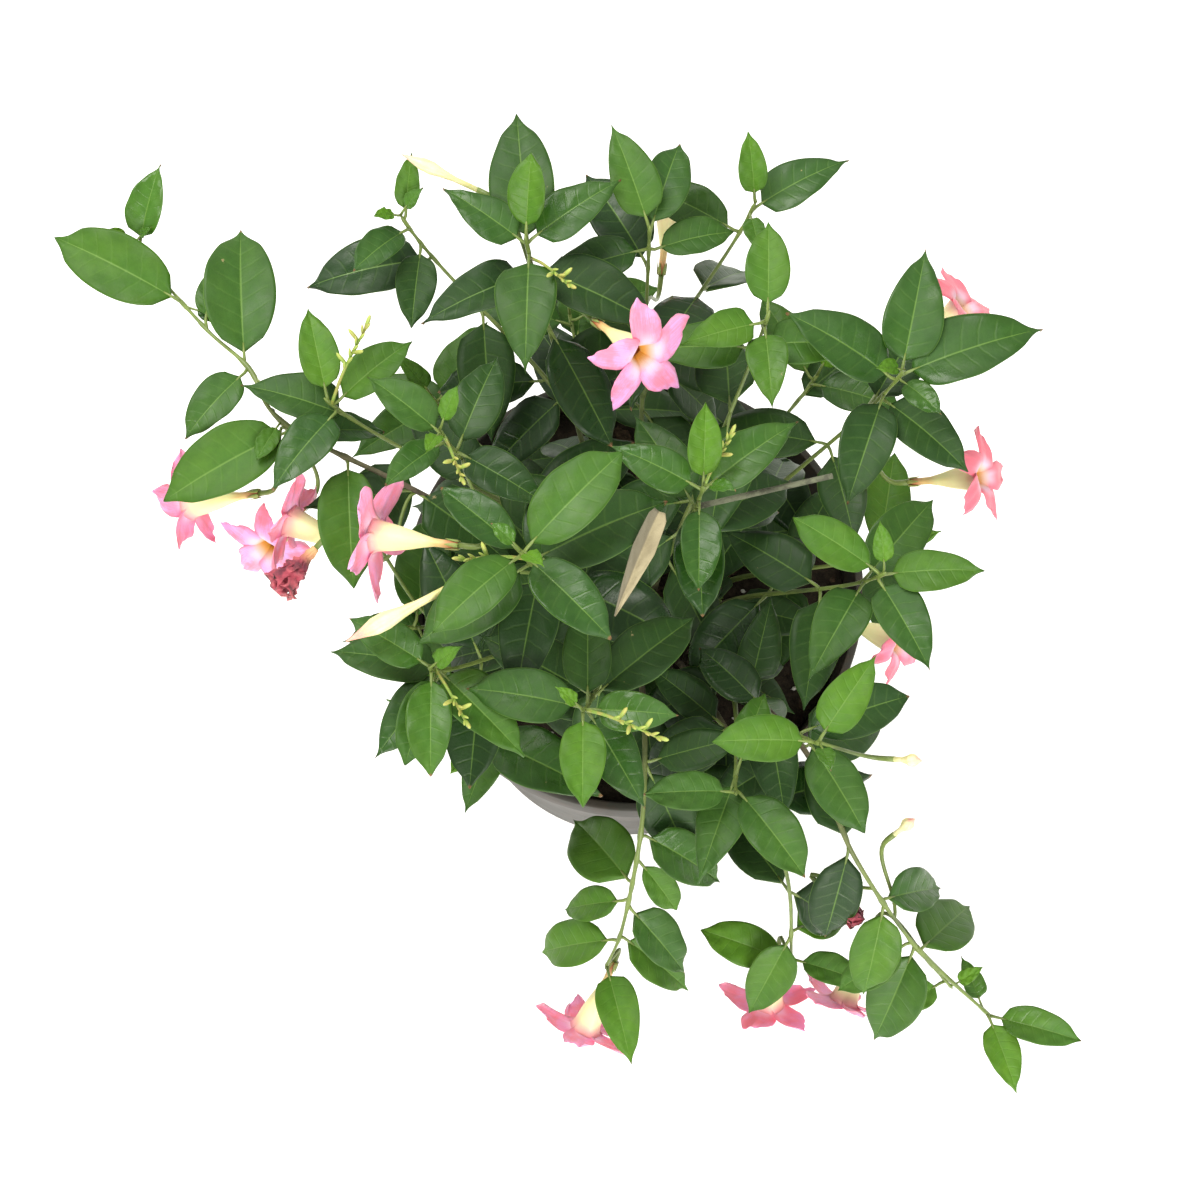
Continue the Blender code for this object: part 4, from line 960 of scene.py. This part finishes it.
# Sprays of small green buds: cane, shoot, distance below the head, bearing, length, number of buds
SPRAYS = [
    ("cane_top_left", 1, 6, 62, 44, 4),
    ("cane_top_left", 0, 8, -70, 34, 3),
    ("cane_centre", 0, 20, 190, 34, 3),
    ("cane_crest", 0, 18, -48, 34, 3),
    ("cane_front", 0, 8, -28, 46, 4),
    ("cane_front_left", 0, 10, -62, 40, 3),
    ("cane_centre_right", 0, 8, 60, 30, 3),
]

# The grey stub of a cane cut back long ago
STUB = dict(cane="cane_centre_right", at=0.86, end=(101, -6, 410))
STUB_RADIUS = 1.7


def facing_frame(facing, turn=0.0):
    """The turn from +Z to the way that a bloom or a bud faces."""
    facing = Vector(facing).normalized()
    across = facing.cross(Vector((0, 0, 1))).normalized()
    made = Matrix((across, facing.cross(across), facing)).transposed()
    return made @ Matrix.Rotation(math.radians(turn), 3, "Z")


def spindle(base, way, length, radius_at, sides, rings, crumple=None):
    """A closed spindle from its base. radius_at takes a share of the length and an angle round it."""
    turn, base = facing_frame(way), Vector(base)
    points = []
    for r in range(rings + 1):
        share = r / rings
        for k in range(sides):
            angle = math.tau * k / sides
            radius = max(radius_at(share, angle), 0.08)
            spot = Vector((radius * math.cos(angle), radius * math.sin(angle), length * share))
            points.append(base + turn @ (spot + crumple(spot, share) if crumple else spot))
    return points, ring_faces(rings + 1, sides)


def grow_pedicel(cane, below, base, way):
    """A thin green stalk from the shoot to just under a bloom or a bud, thicker at its top."""
    start, stem_way = stem_point(cane, 0, below)
    way = Vector(way).normalized()
    end = Vector(base) - way * GAP
    neck = end - way * PEDICEL_NECK
    leave = (neck - start).normalized() + stem_way * 0.5
    line = smooth_route([start, neck], leave, way, FINE_STEP) + [end + way * 0.6]
    line[0] = on_stem(cane, 0, start)
    radii = [1.0 + 0.7 * (i / (len(line) - 1)) ** 3 for i in range(len(line))]
    shoots_of[cane].take(*tube(line, radii, 8), age=0.0)


for _, cane, below, throat, facing, _, _ in BLOOMS:
    grow_pedicel(cane, below, Vector(throat) - Vector(facing).normalized() * TUBE_LENGTH, facing)
for _, cane, below, base, way, _, _ in FADED_BLOOMS + BUDS:
    grow_pedicel(cane, below, base, way)

YOUNG_BUD, tree, shader = finish("spray_green", Roughness=0.5)
(along_it,) = read(tree, "along")
colour = mix(tree, rise(tree, along_it, 0.1, 0.9), (0.19, 0.32, 0.045), (0.4, 0.48, 0.1))
colour, _ = mottle(tree, colour, (0.55, 0.3, 0.12), 200.0, 0.35, 0.1)
cover(tree, shader, colour, 500.0, 2000.0, 0.2)

SMALL_BUD_LENGTH = 9.0
SCALE_LENGTH = 5.5


def small_bud_radius(share, angle):
    """The faintly ribbed outline of a spray's small buds."""
    return 1.75 * (0.35 + 1.3 * share) * (1 - share) ** 0.6 * (1 + 0.12 * math.cos(5 * angle + 3 * share))


def scale_radius(share, _):
    """The outline of the narrow scales that sit between a spray's buds."""
    return 1.25 * (0.5 + 1.1 * share) * (1 - share) ** 0.7


for cane, number, below, bearing, length, count in SPRAYS:
    start, _ = stem_point(cane, number, below)
    line = [start + bearing_way(bearing, 50 - 25 * t) * (length * t) for t in (0.0, 0.35, 0.7, 1.0)]
    fine = [along(line, line_length(line) * k / 10)[0] for k in range(11)]
    shoots_of[cane].take(*tube(fine, [1.0 - 0.03 * k for k in range(11)], 7), 1, along=0.3)
    for k in range(count):
        root, _ = along(line, line_length(line) * (1.0 - 0.16 * k))
        swing = bearing + (75 if k % 2 else -75) * (k > 0)
        points, faces = spindle(root, bearing_way(swing, 40), SMALL_BUD_LENGTH, small_bud_radius, 10, 9)
        shoots_of[cane].take(points, faces, 1, along=np.repeat(np.linspace(0, 1, 10), 10))
        for side in (-1, 1):
            root, _ = along(line, line_length(line) * (0.98 - 0.16 * k - 0.04 * side))
            way = bearing_way(bearing + 28 * side, 44)
            points, faces = spindle(root, way, SCALE_LENGTH, scale_radius, 8, 7)
            shoots_of[cane].take(points, faces, 1, along=np.repeat(np.linspace(0.2, 0.9, 8), 8))

STUB_WOOD, tree, shader = finish("dead_wood", Roughness=0.9)
colour, _ = mottle(tree, (0.14, 0.15, 0.095), (0.07, 0.072, 0.048), 140.0, 0.9, 0.08)
cover(tree, shader, colour, 300.0, 1500.0, 0.8, 0.8)
line = lines[STUB["cane"], 0]
start, _ = along(line, line_length(line) * STUB["at"])
end = Vector(STUB["end"])
line = [start + (end - start) * (k / 14) for k in range(15)]
radii = [(STUB_RADIUS - 0.015 * k) * (1 + 0.14 * noise.noise(Vector((k * 0.7, 3, 0)))) for k in range(15)]
shoots_of[STUB["cane"]].take(*tube(line, radii, 10), 2)
for name, growth in shoots_of.items():
    growth.make("shoots_of_" + name, [SHOOT, YOUNG_BUD, STUB_WOOD], "leaf_green", name)


# Each flower is one funnel of soft petal: a narrow tube, brick-red at its base and cream above, that opens
# into five lobes. They are set like a pinwheel, with oblique pointed tips. Five green sepals clasp the base.
BLOOM_RADIUS = 31.0
THROAT_RADIUS = 3.0
THROAT_DEPTH = 12.0
PETALS = 5
PETAL = 0.4
LOBE_ROWS = 21
LOBE_COLUMNS = 15
FUNNEL_SIDES = 40
LOBE_TURN = 0.46
FUNNEL = ((0, 1.9), (6, 2.0), (13, 2.15), (20, 3.5), (27, 5.3), (35, 6.8), (43, 7.9), (45.5, 8.6), (47, 9.8))
LOBE_HALF_WIDTH = ((0, 2.8), (0.15, 6.2), (0.3, 8.0), (0.5, 9.2), (0.75, 9.5), (0.92, 8.0), (1.0, 6.2))


def at_height(profile, height):
    """The second value of a profile where its first is height."""
    return np.interp(height, *zip(*profile))


def lobe(number, span, dice):
    """One petal lobe, which rises out of the throat, turns flat and ends askew, with its values."""
    b = np.linspace(0, 1, LOBE_ROWS)[:, None]
    a = np.linspace(-1, 1, LOBE_COLUMNS)[None, :]
    corner = dice.uniform(0.5, 0.8)
    cut = dice.uniform(0.2, 0.36) * np.clip((corner - a) / (1 + corner), 0, 1) ** 0.8
    cut = cut + 0.14 * np.clip((a - corner) / (1 - corner), 0, 1) ** 2 + 0.012 * np.sin(9 * a + 20 * corner)
    reach = BLOOM_RADIUS * span * (1.02 - cut)
    outward = THROAT_RADIUS + (reach - THROAT_RADIUS) * b**1.15
    half = at_height(LOBE_HALF_WIDTH, b) * span
    sideways = half * a + 3.5 * b**2
    turns = [dice.uniform(0, math.tau) for _ in range(3)]
    height = TUBE_LENGTH - THROAT_DEPTH + 11.0 * (1 - np.exp((THROAT_RADIUS - outward) / 2.6))
    height = height - 1.6 * a * b - 1.4 * np.abs(a) ** 3 * b - 0.5 * a * (1 - b)
    ruffle = 0.8 * np.sin(4.2 * a + turns[0]) + 0.5 * np.sin(8 * a + 4 * b + turns[1])
    height = height + b**1.5 * (0.3 + np.abs(a)) * ruffle + b**2.5 * dice.uniform(-6.0, 0.5)
    height = height + 0.4 * np.sin(8 * b + turns[2]) * b - 0.6 * b * np.exp(-((a - 0.1) / 0.16) ** 2)
    turn = math.tau / PETALS * (number + LOBE_TURN)
    x = outward * math.cos(turn) - sideways * math.sin(turn)
    y = outward * math.sin(turn) + sideways * math.cos(turn)
    thick = PETAL * (1 - 0.5 * np.abs(a) ** 4)
    grids = [np.stack([x, y, np.broadcast_to(height + way * thick / 2, x.shape)], -1) for way in (1, -1)]
    values = [np.tile(np.broadcast_to(value, x.shape).ravel(), 2) for value in (a, b)]
    return *closed_sheet(*grids), *values


def petal_finish(name, pink, lilac, edge):
    """Soft petal: pink with lilac clouds, partly its own tint and partly painted highlight, fine streaks that
    run outwards, a whitish-lilac painted highlight near the throat, and orange at its foot.
    """
    made, tree, shader = finish(name, Roughness=0.55, Sheen_Weight=0.15, Subsurface_Weight=0.3)
    shader.inputs["Subsurface Radius"].default_value = (1.0, 0.5, 0.5)
    shader.inputs["Subsurface Scale"].default_value = 2.0 * MM
    across, out_along, tone = read(tree, "across", "along", "tone")
    place = add(tree, "CombineXYZ", {0: maths(tree, "MULTIPLY", across, 9.0), 1: out_along}).outputs[0]
    streaks = add(tree, "TexNoise", {"Vector": place, "Scale": 2.2, "Detail": 3.0}).outputs["Fac"]
    colour = mix(tree, rise(tree, tone, 0.0, 1.0), edge, pink)
    # The lilac clouds are partly the flower's own tint and partly painted highlight.
    cool = mix(tree, rise(tree, tone, 0.0, 0.6), colour, lilac)
    colour, _ = mottle(tree, colour, cool, 75.0, 0.9, 0.1, 0.49)
    colour = mix(tree, rise(tree, streaks, 0.42, 0.75, 0.55), colour, edge)
    off = maths(tree, "ABSOLUTE", across)
    colour = mix(tree, rise(tree, off, 0.7, 1.0, 0.5), colour, edge)
    # Painted highlight: whitish lilac on the inner part of each lobe, near the throat.
    inward = rise(tree, out_along, 0.2, 0.55, 0.0, 1.0)
    painted_highlight = maths(tree, "MULTIPLY", inward, rise(tree, off, 0.15, 0.9, 0.0, 0.8))
    colour = mix(tree, painted_highlight, colour, (0.93, 0.66, 0.82))
    colour = mix(tree, rise(tree, out_along, 0.1, 0.26, 0.0, 0.9), colour, (0.92, 0.58, 0.42))
    colour = mix(tree, rise(tree, out_along, 0.03, 0.15, 0.0, 1.0), colour, (0.9, 0.42, 0.06))
    cover(tree, shader, colour, 300.0, 1500.0, 0.25, 0.4, maths(tree, "MULTIPLY", streaks, 2.5))
    return made


def funnel_finish(name, stops):
    """The funnel's skin: its colour runs through the stops from its base to its mouth."""
    made, tree, shader = finish(name, Roughness=0.5, Subsurface_Weight=0.1)
    shader.inputs["Subsurface Scale"].default_value = 1.5 * MM
    (along_it,) = read(tree, "along")
    colour = stops[0][1]
    for (low, _), (high, later) in zip(stops, stops[1:]):
        colour = mix(tree, rise(tree, along_it, low, high), colour, later)
    colour, _ = mottle(tree, colour, (0.86, 0.56, 0.32), 80.0, 0.25, 0.15)
    cover(tree, shader, colour, 300.0, 1500.0, 0.2)
    return made


PETAL_TOP = petal_finish("petal_pink", (0.9, 0.26, 0.42), (0.89, 0.39, 0.76), (0.88, 0.18, 0.25))
PETAL_BACK = petal_finish("petal_reverse", (0.9, 0.29, 0.44), (0.88, 0.36, 0.64), (0.9, 0.2, 0.28))
CREAM = funnel_finish(
    "funnel_cream",
    [
        (0.04, (0.5, 0.15, 0.06)), (0.24, (0.74, 0.52, 0.2)), (0.42, (0.86, 0.82, 0.38)),
        (0.8, (0.9, 0.8, 0.44)), (1.0, (0.9, 0.36, 0.4)),
    ],
)
THROAT = funnel_finish(
    "throat_orange", [(0.3, (0.45, 0.12, 0.02)), (0.7, (0.85, 0.38, 0.05)), (1.0, (0.9, 0.55, 0.2))],
)
SEPAL, tree, shader = finish("sepal_green", Roughness=0.5)
colour, _ = mottle(tree, (0.25, 0.36, 0.08), (0.4, 0.2, 0.08), 180.0, 0.5)
tree.links.new(colour, shader.inputs["Base Color"])
SEPAL_WIDTHS = (1.0, 1.2, 1.1, 0.8, 0.45, 0.1)
SEPAL_THICKNESS = 0.35

# How far a flower's pink is cool and lilac, rather than coral. Its lilac clouds are partly tint and partly
# painted highlight
COOL = {
    "bloom_star": 1.0, "bloom_left_facing": 0.7, "bloom_right": 0.0, "bloom_right_back": 0.0,
    "bloom_right_front": 0.2,
}
USUAL_COOL = 0.55
dice = random.Random(5)
for name, _, _, throat, facing, span, turn in BLOOMS:
    bloom, way, middle = Growth(), facing_frame(facing, turn), Vector(throat)

    def place(points, way=way, middle=middle):
        """The points of an upright bloom, moved to where this one stands."""
        moved = np.asarray(points, float) - (0, 0, TUBE_LENGTH)
        return moved @ np.array(way).T + np.array(middle)

    heights = np.linspace(0, FUNNEL[-1][0], 26)
    outside = [(at_height(FUNNEL, h), h) for h in heights]
    inside = [(at_height(FUNNEL, h) - PETAL, h) for h in heights[:7:-1]]
    profile = outside + inside
    points, faces = turned(profile, FUNNEL_SIDES)
    ribs = 1 + 0.035 * np.cos(5 * np.arctan2(*np.array(points)[:, 1::-1].T))
    points = np.array(points) * np.stack([ribs, ribs, np.ones(len(ribs))], -1)
    skin = len(outside) * FUNNEL_SIDES
    finishes = [2, 3] + [2] * skin + [3] * (len(faces) - 2 - skin)
    shares = np.repeat([h / heights[-1] for _, h in profile], FUNNEL_SIDES)
    bloom.take(place(points), faces, finishes, along=shares)
    for number in range(PETALS):
        points, faces, sides, across, out_along = lobe(number, span, dice)
        cool = COOL.get(name, USUAL_COOL)
        bloom.take(place(points), faces, sides, across=across, along=out_along, tone=cool)
    for number in range(PETALS):
        turned_by = Matrix.Rotation(math.tau * number / PETALS, 3, "Z")
        rows = zip(np.linspace(0, 1, len(SEPAL_WIDTHS)), SEPAL_WIDTHS)
        grid = np.array([[(2.15 + 0.5 * t, w * s, -0.6 + 7.5 * t) for s in (-1, 0, 1)] for t, w in rows])
        points, faces, _ = closed_sheet(grid, grid + (SEPAL_THICKNESS, 0, 0))
        bloom.take(place(points @ np.array(turned_by).T), faces, 4)
    bloom.make("petals_of_" + name, [PETAL_TOP, PETAL_BACK, CREAM, THROAT, SEPAL], "petal_pink", name)


# Old blooms hang on for days as crumpled, papery crimson rags. Buds are spindles with their five petals still
# rolled in a twist, cream with a flushed pink tip, and browner along their twisted seams.
RAG, tree, shader = finish("faded_petal", Roughness=0.7, Sheen_Weight=0.2)
colour, _ = mottle(tree, (0.36, 0.045, 0.075), (0.11, 0.012, 0.03), 110.0, 0.9, 0.1)
# The paler red clouds are painted highlight on the crumpled petals.
colour, _ = mottle(tree, colour, (0.8, 0.22, 0.22), 60.0, 0.5, 0.1)
(along_it,) = read(tree, "along")
colour = mix(tree, rise(tree, along_it, 0.05, 0.35, 0.0, 1.0), colour, (0.75, 0.42, 0.2))
cover(tree, shader, colour, 350.0, 1500.0, 0.8, 0.8)

RAG_SIDES = 44
RAG_RINGS = 40
SPINDLE = (
    (0, 0.4), (0.3, 0.42), (0.46, 0.66), (0.6, 1.0), (0.72, 0.95), (0.84, 0.52), (0.94, 0.2), (1, 0.04),
)
RAGGED = ((0.0, 0.35), (0.25, 0.45), (0.5, 1.0), (0.72, 0.75), (0.9, 0.85), (1.0, 0.5))
# Without a seed, noise_vector would crumple the rags differently each time
noise.seed_set(4)


for number, (name, _, _, base, way, length, radius) in enumerate(FADED_BLOOMS):
    def crumpled(spot, share, seed=number):
        """How far the old petals are pressed in or out at a spot."""
        spot = spot * 0.35 + Vector((seed * 7.0, 0, 0))
        pressed = Vector((noise.noise(spot), noise.noise(spot + Vector((9, 0, 0))), 0.0))
        return pressed * 3.0 * min(1, share * 2)

    def rag_radius(share, angle, widest=radius):
        """The outline of a shrivelled bloom, with its petals in five uneven pleats."""
        pleats = 1 + 0.3 * math.cos(5 * angle + 4 * share) * share + 0.12 * math.cos(11 * angle)
        return widest * float(at_height(RAGGED, share)) * pleats

    points, faces = spindle(base, way, length, rag_radius, RAG_SIDES, RAG_RINGS, crumpled)
    rag = Growth()
    rag.take(points, faces, along=np.repeat(np.linspace(0, 1, RAG_RINGS + 1), RAG_SIDES))
    for flap in range(PETALS):
        turn = facing_frame(way) @ Matrix.Rotation(math.tau * flap / PETALS, 3, "Z")
        grid = np.zeros((14, 11, 3))
        for row, b in enumerate(np.linspace(0, 1, 14)):
            for column, a in enumerate(np.linspace(-1, 1, 11)):
                widen = 0.4 + 0.5 * b
                spot = Vector((1.5 + radius * 1.2 * b, a * radius * widen, length * widen))
                spot += noise.noise_vector(spot * 0.24 + Vector((flap * 5, number * 9, 0))) * 4.0 * b
                grid[row, column] = Vector(base) + turn @ spot
        points, faces, _ = closed_sheet(grid, grid - np.array(Vector(way).normalized()) * PETAL)
        rag.take(points, faces, along=1.0)
    rag.make("rag_of_" + name, [RAG], "faded_petal", name)

BUD, tree, shader = finish("bud_cream", Roughness=0.45, Subsurface_Weight=0.1)
shader.inputs["Subsurface Scale"].default_value = 1.5 * MM
along_it, across = read(tree, "along", "across")
colour = mix(tree, rise(tree, along_it, 0.0, 0.3), (0.45, 0.47, 0.12), (0.88, 0.8, 0.4))
colour = mix(tree, rise(tree, along_it, 0.7, 0.88), colour, (0.84, 0.36, 0.3))
# The seams are a darker tan than the cream between them.
colour = mix(tree, rise(tree, across, 0.3, 1.0, 0.35), colour, (0.7, 0.55, 0.2))
colour, _ = mottle(tree, colour, (0.93, 0.88, 0.6), 70.0, 0.5)
cover(tree, shader, colour, 350.0, 1500.0, 0.2)
BUD_SIDES = 35
BUD_RINGS = 40
BUD_TWIST = 4.0


def rolled_seam(share, angle):
    """How deep in one of the bud's five twisted seams a place lies, from 0 to 1."""
    return abs(math.cos(2.5 * angle + BUD_TWIST * share)) ** 6


for name, _, _, base, way, length, radius in BUDS:
    def bud_radius(share, angle, widest=radius):
        """The outline of a rolled bud."""
        return widest * float(at_height(SPINDLE, share)) * (1 - 0.16 * rolled_seam(share, angle) * share)

    points, faces = spindle(base, way, length, bud_radius, BUD_SIDES, BUD_RINGS)
    turns = [math.tau * k / BUD_SIDES for k in range(BUD_SIDES)]
    seams = [rolled_seam(r / BUD_RINGS, angle) for r in range(BUD_RINGS + 1) for angle in turns]
    bud = Growth()
    bud.take(points, faces, along=np.repeat(np.linspace(0, 1, BUD_RINGS + 1), BUD_SIDES), across=seams)
    bud.make("rolled_" + name, [BUD], "bud_cream", name)


# A fallen leaf lies on the foliage, folded along its midrib and dried to tan paper. One half is darker, a
# painted shade for the shaded side of its fold, and its far end has broken off nearly square.
base, tip = Vector((-16, -89, 436)), Vector((10, -27, 440))
dry = dict(
    root=base, bearing=math.degrees(math.atan2(tip.y - base.y, tip.x - base.x)), pitch=6,
    length=(tip - base).length - PETIOLE_LENGTH, width=17.0, bend=14, roll=12, fold=24,
)


def dry_shape(share, _):
    """Half the dry blade's width at a share of its length, as a share of the widest."""
    return np.interp(share, [0, 0.08, 0.3, 0.62, 0.93, 1], [0.06, 0.2, 0.55, 0.95, 0.8, 0.5])


DRY_EDGE_RISE = 4.5
dry_top = (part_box("dry_leaf")[1] / MM).z
highest = max(stop[0].z for stop in leaf_line(dry, np.linspace(0, 1, 30)))
dry["root"] = base + Vector((0, 0, dry_top - DRY_EDGE_RISE - highest))

PAPER, tree, shader = finish("dry_leaf_tan", Roughness=0.8)
(across,) = read(tree, "across")
colour, _ = mottle(tree, (0.42, 0.36, 0.22), (0.3, 0.25, 0.15), 90.0, 0.7)
# Painted shade: the half of the blade on one side of the fold is darkened.
colour = mix(tree, rise(tree, across, -0.05, 0.2, 0.85), colour, (0.17, 0.155, 0.11))
cover(tree, shader, colour, 400.0, 1600.0, 0.5, 0.7)
paper = Growth()
grow_blade(paper, dry, True, 1.0, random.Random(3), dry_shape)
paper.make("dry_tan_leaf", [PAPER, PAPER], "dry_leaf_tan", "dry_leaf")


# The studio is a plain pale floor that glows faintly, with a large soft light above and behind the plant and
# another in front. The camera looks steeply down, as the photograph does.
TARGET = Vector((-0.021, -0.0485, 0.33))
ELEVATION = math.radians(72)
DISTANCE = 1.2
LENS = 65.0
LAMP_SIZE = 1.3
SKY_STRENGTH = 0.7

FLOOR, tree, shader = finish("studio_floor", Roughness=0.9, Specular_IOR_Level=0.1, Emission_Strength=0.45)
shader.inputs["Emission Color"].default_value = (1.0, 1.0, 1.0, 1.0)
colour, _ = mottle(tree, (0.9, 0.895, 0.885), (0.87, 0.865, 0.855), 3.0, 0.6)
tree.links.new(colour, shader.inputs["Base Color"])
corners = [(-6, -6, 0), (6, -6, 0), (6, 6, 0), (-6, 6, 0)]
floor = put("studio_floor", corners, [(0, 1, 2, 3)], bpy.context.scene.collection)
floor.data.materials.append(FLOOR)
floor.location.z = -0.0005

world = bpy.data.worlds.new("studio")
world.use_nodes = True
sky = world.node_tree.nodes["Background"]
sky.inputs["Color"].default_value = (1.0, 0.99, 0.94, 1.0)
seen = add(world.node_tree, "LightPath").outputs["Is Camera Ray"]
world.node_tree.links.new(rise(world.node_tree, seen, 0.0, 1.0, 1.0, SKY_STRENGTH), sky.inputs["Strength"])
bpy.context.scene.world = world
for name, stand, watts in (("soft_above", (-0.7, 0.6, 1.8), 32.0), ("soft_front", (0.3, -1.6, 1.3), 36.0)):
    lamp = bpy.data.lights.new(name, "AREA")
    lamp.shape, lamp.size, lamp.energy, lamp.color = "DISK", LAMP_SIZE, watts, (1.0, 0.98, 0.92)
    light = bpy.data.objects.new(name, lamp)
    light.location = stand
    light.rotation_mode = "QUATERNION"
    light.rotation_quaternion = (TARGET - light.location).to_track_quat("-Z", "Y")
    light.visible_camera = False
    bpy.context.scene.collection.objects.link(light)

lens = bpy.data.cameras.new("camera")
lens.lens = LENS
lens.sensor_width = 36.0
camera = bpy.data.objects.new("camera", lens)
back = Vector((0, -math.cos(ELEVATION), math.sin(ELEVATION)))
camera.location = TARGET + back * DISTANCE
camera.rotation_mode = "QUATERNION"
camera.rotation_quaternion = (-back).to_track_quat("-Z", "Y")
bpy.context.scene.collection.objects.link(camera)
bpy.context.scene.camera = camera
bpy.context.scene.view_settings.view_transform = "Standard"
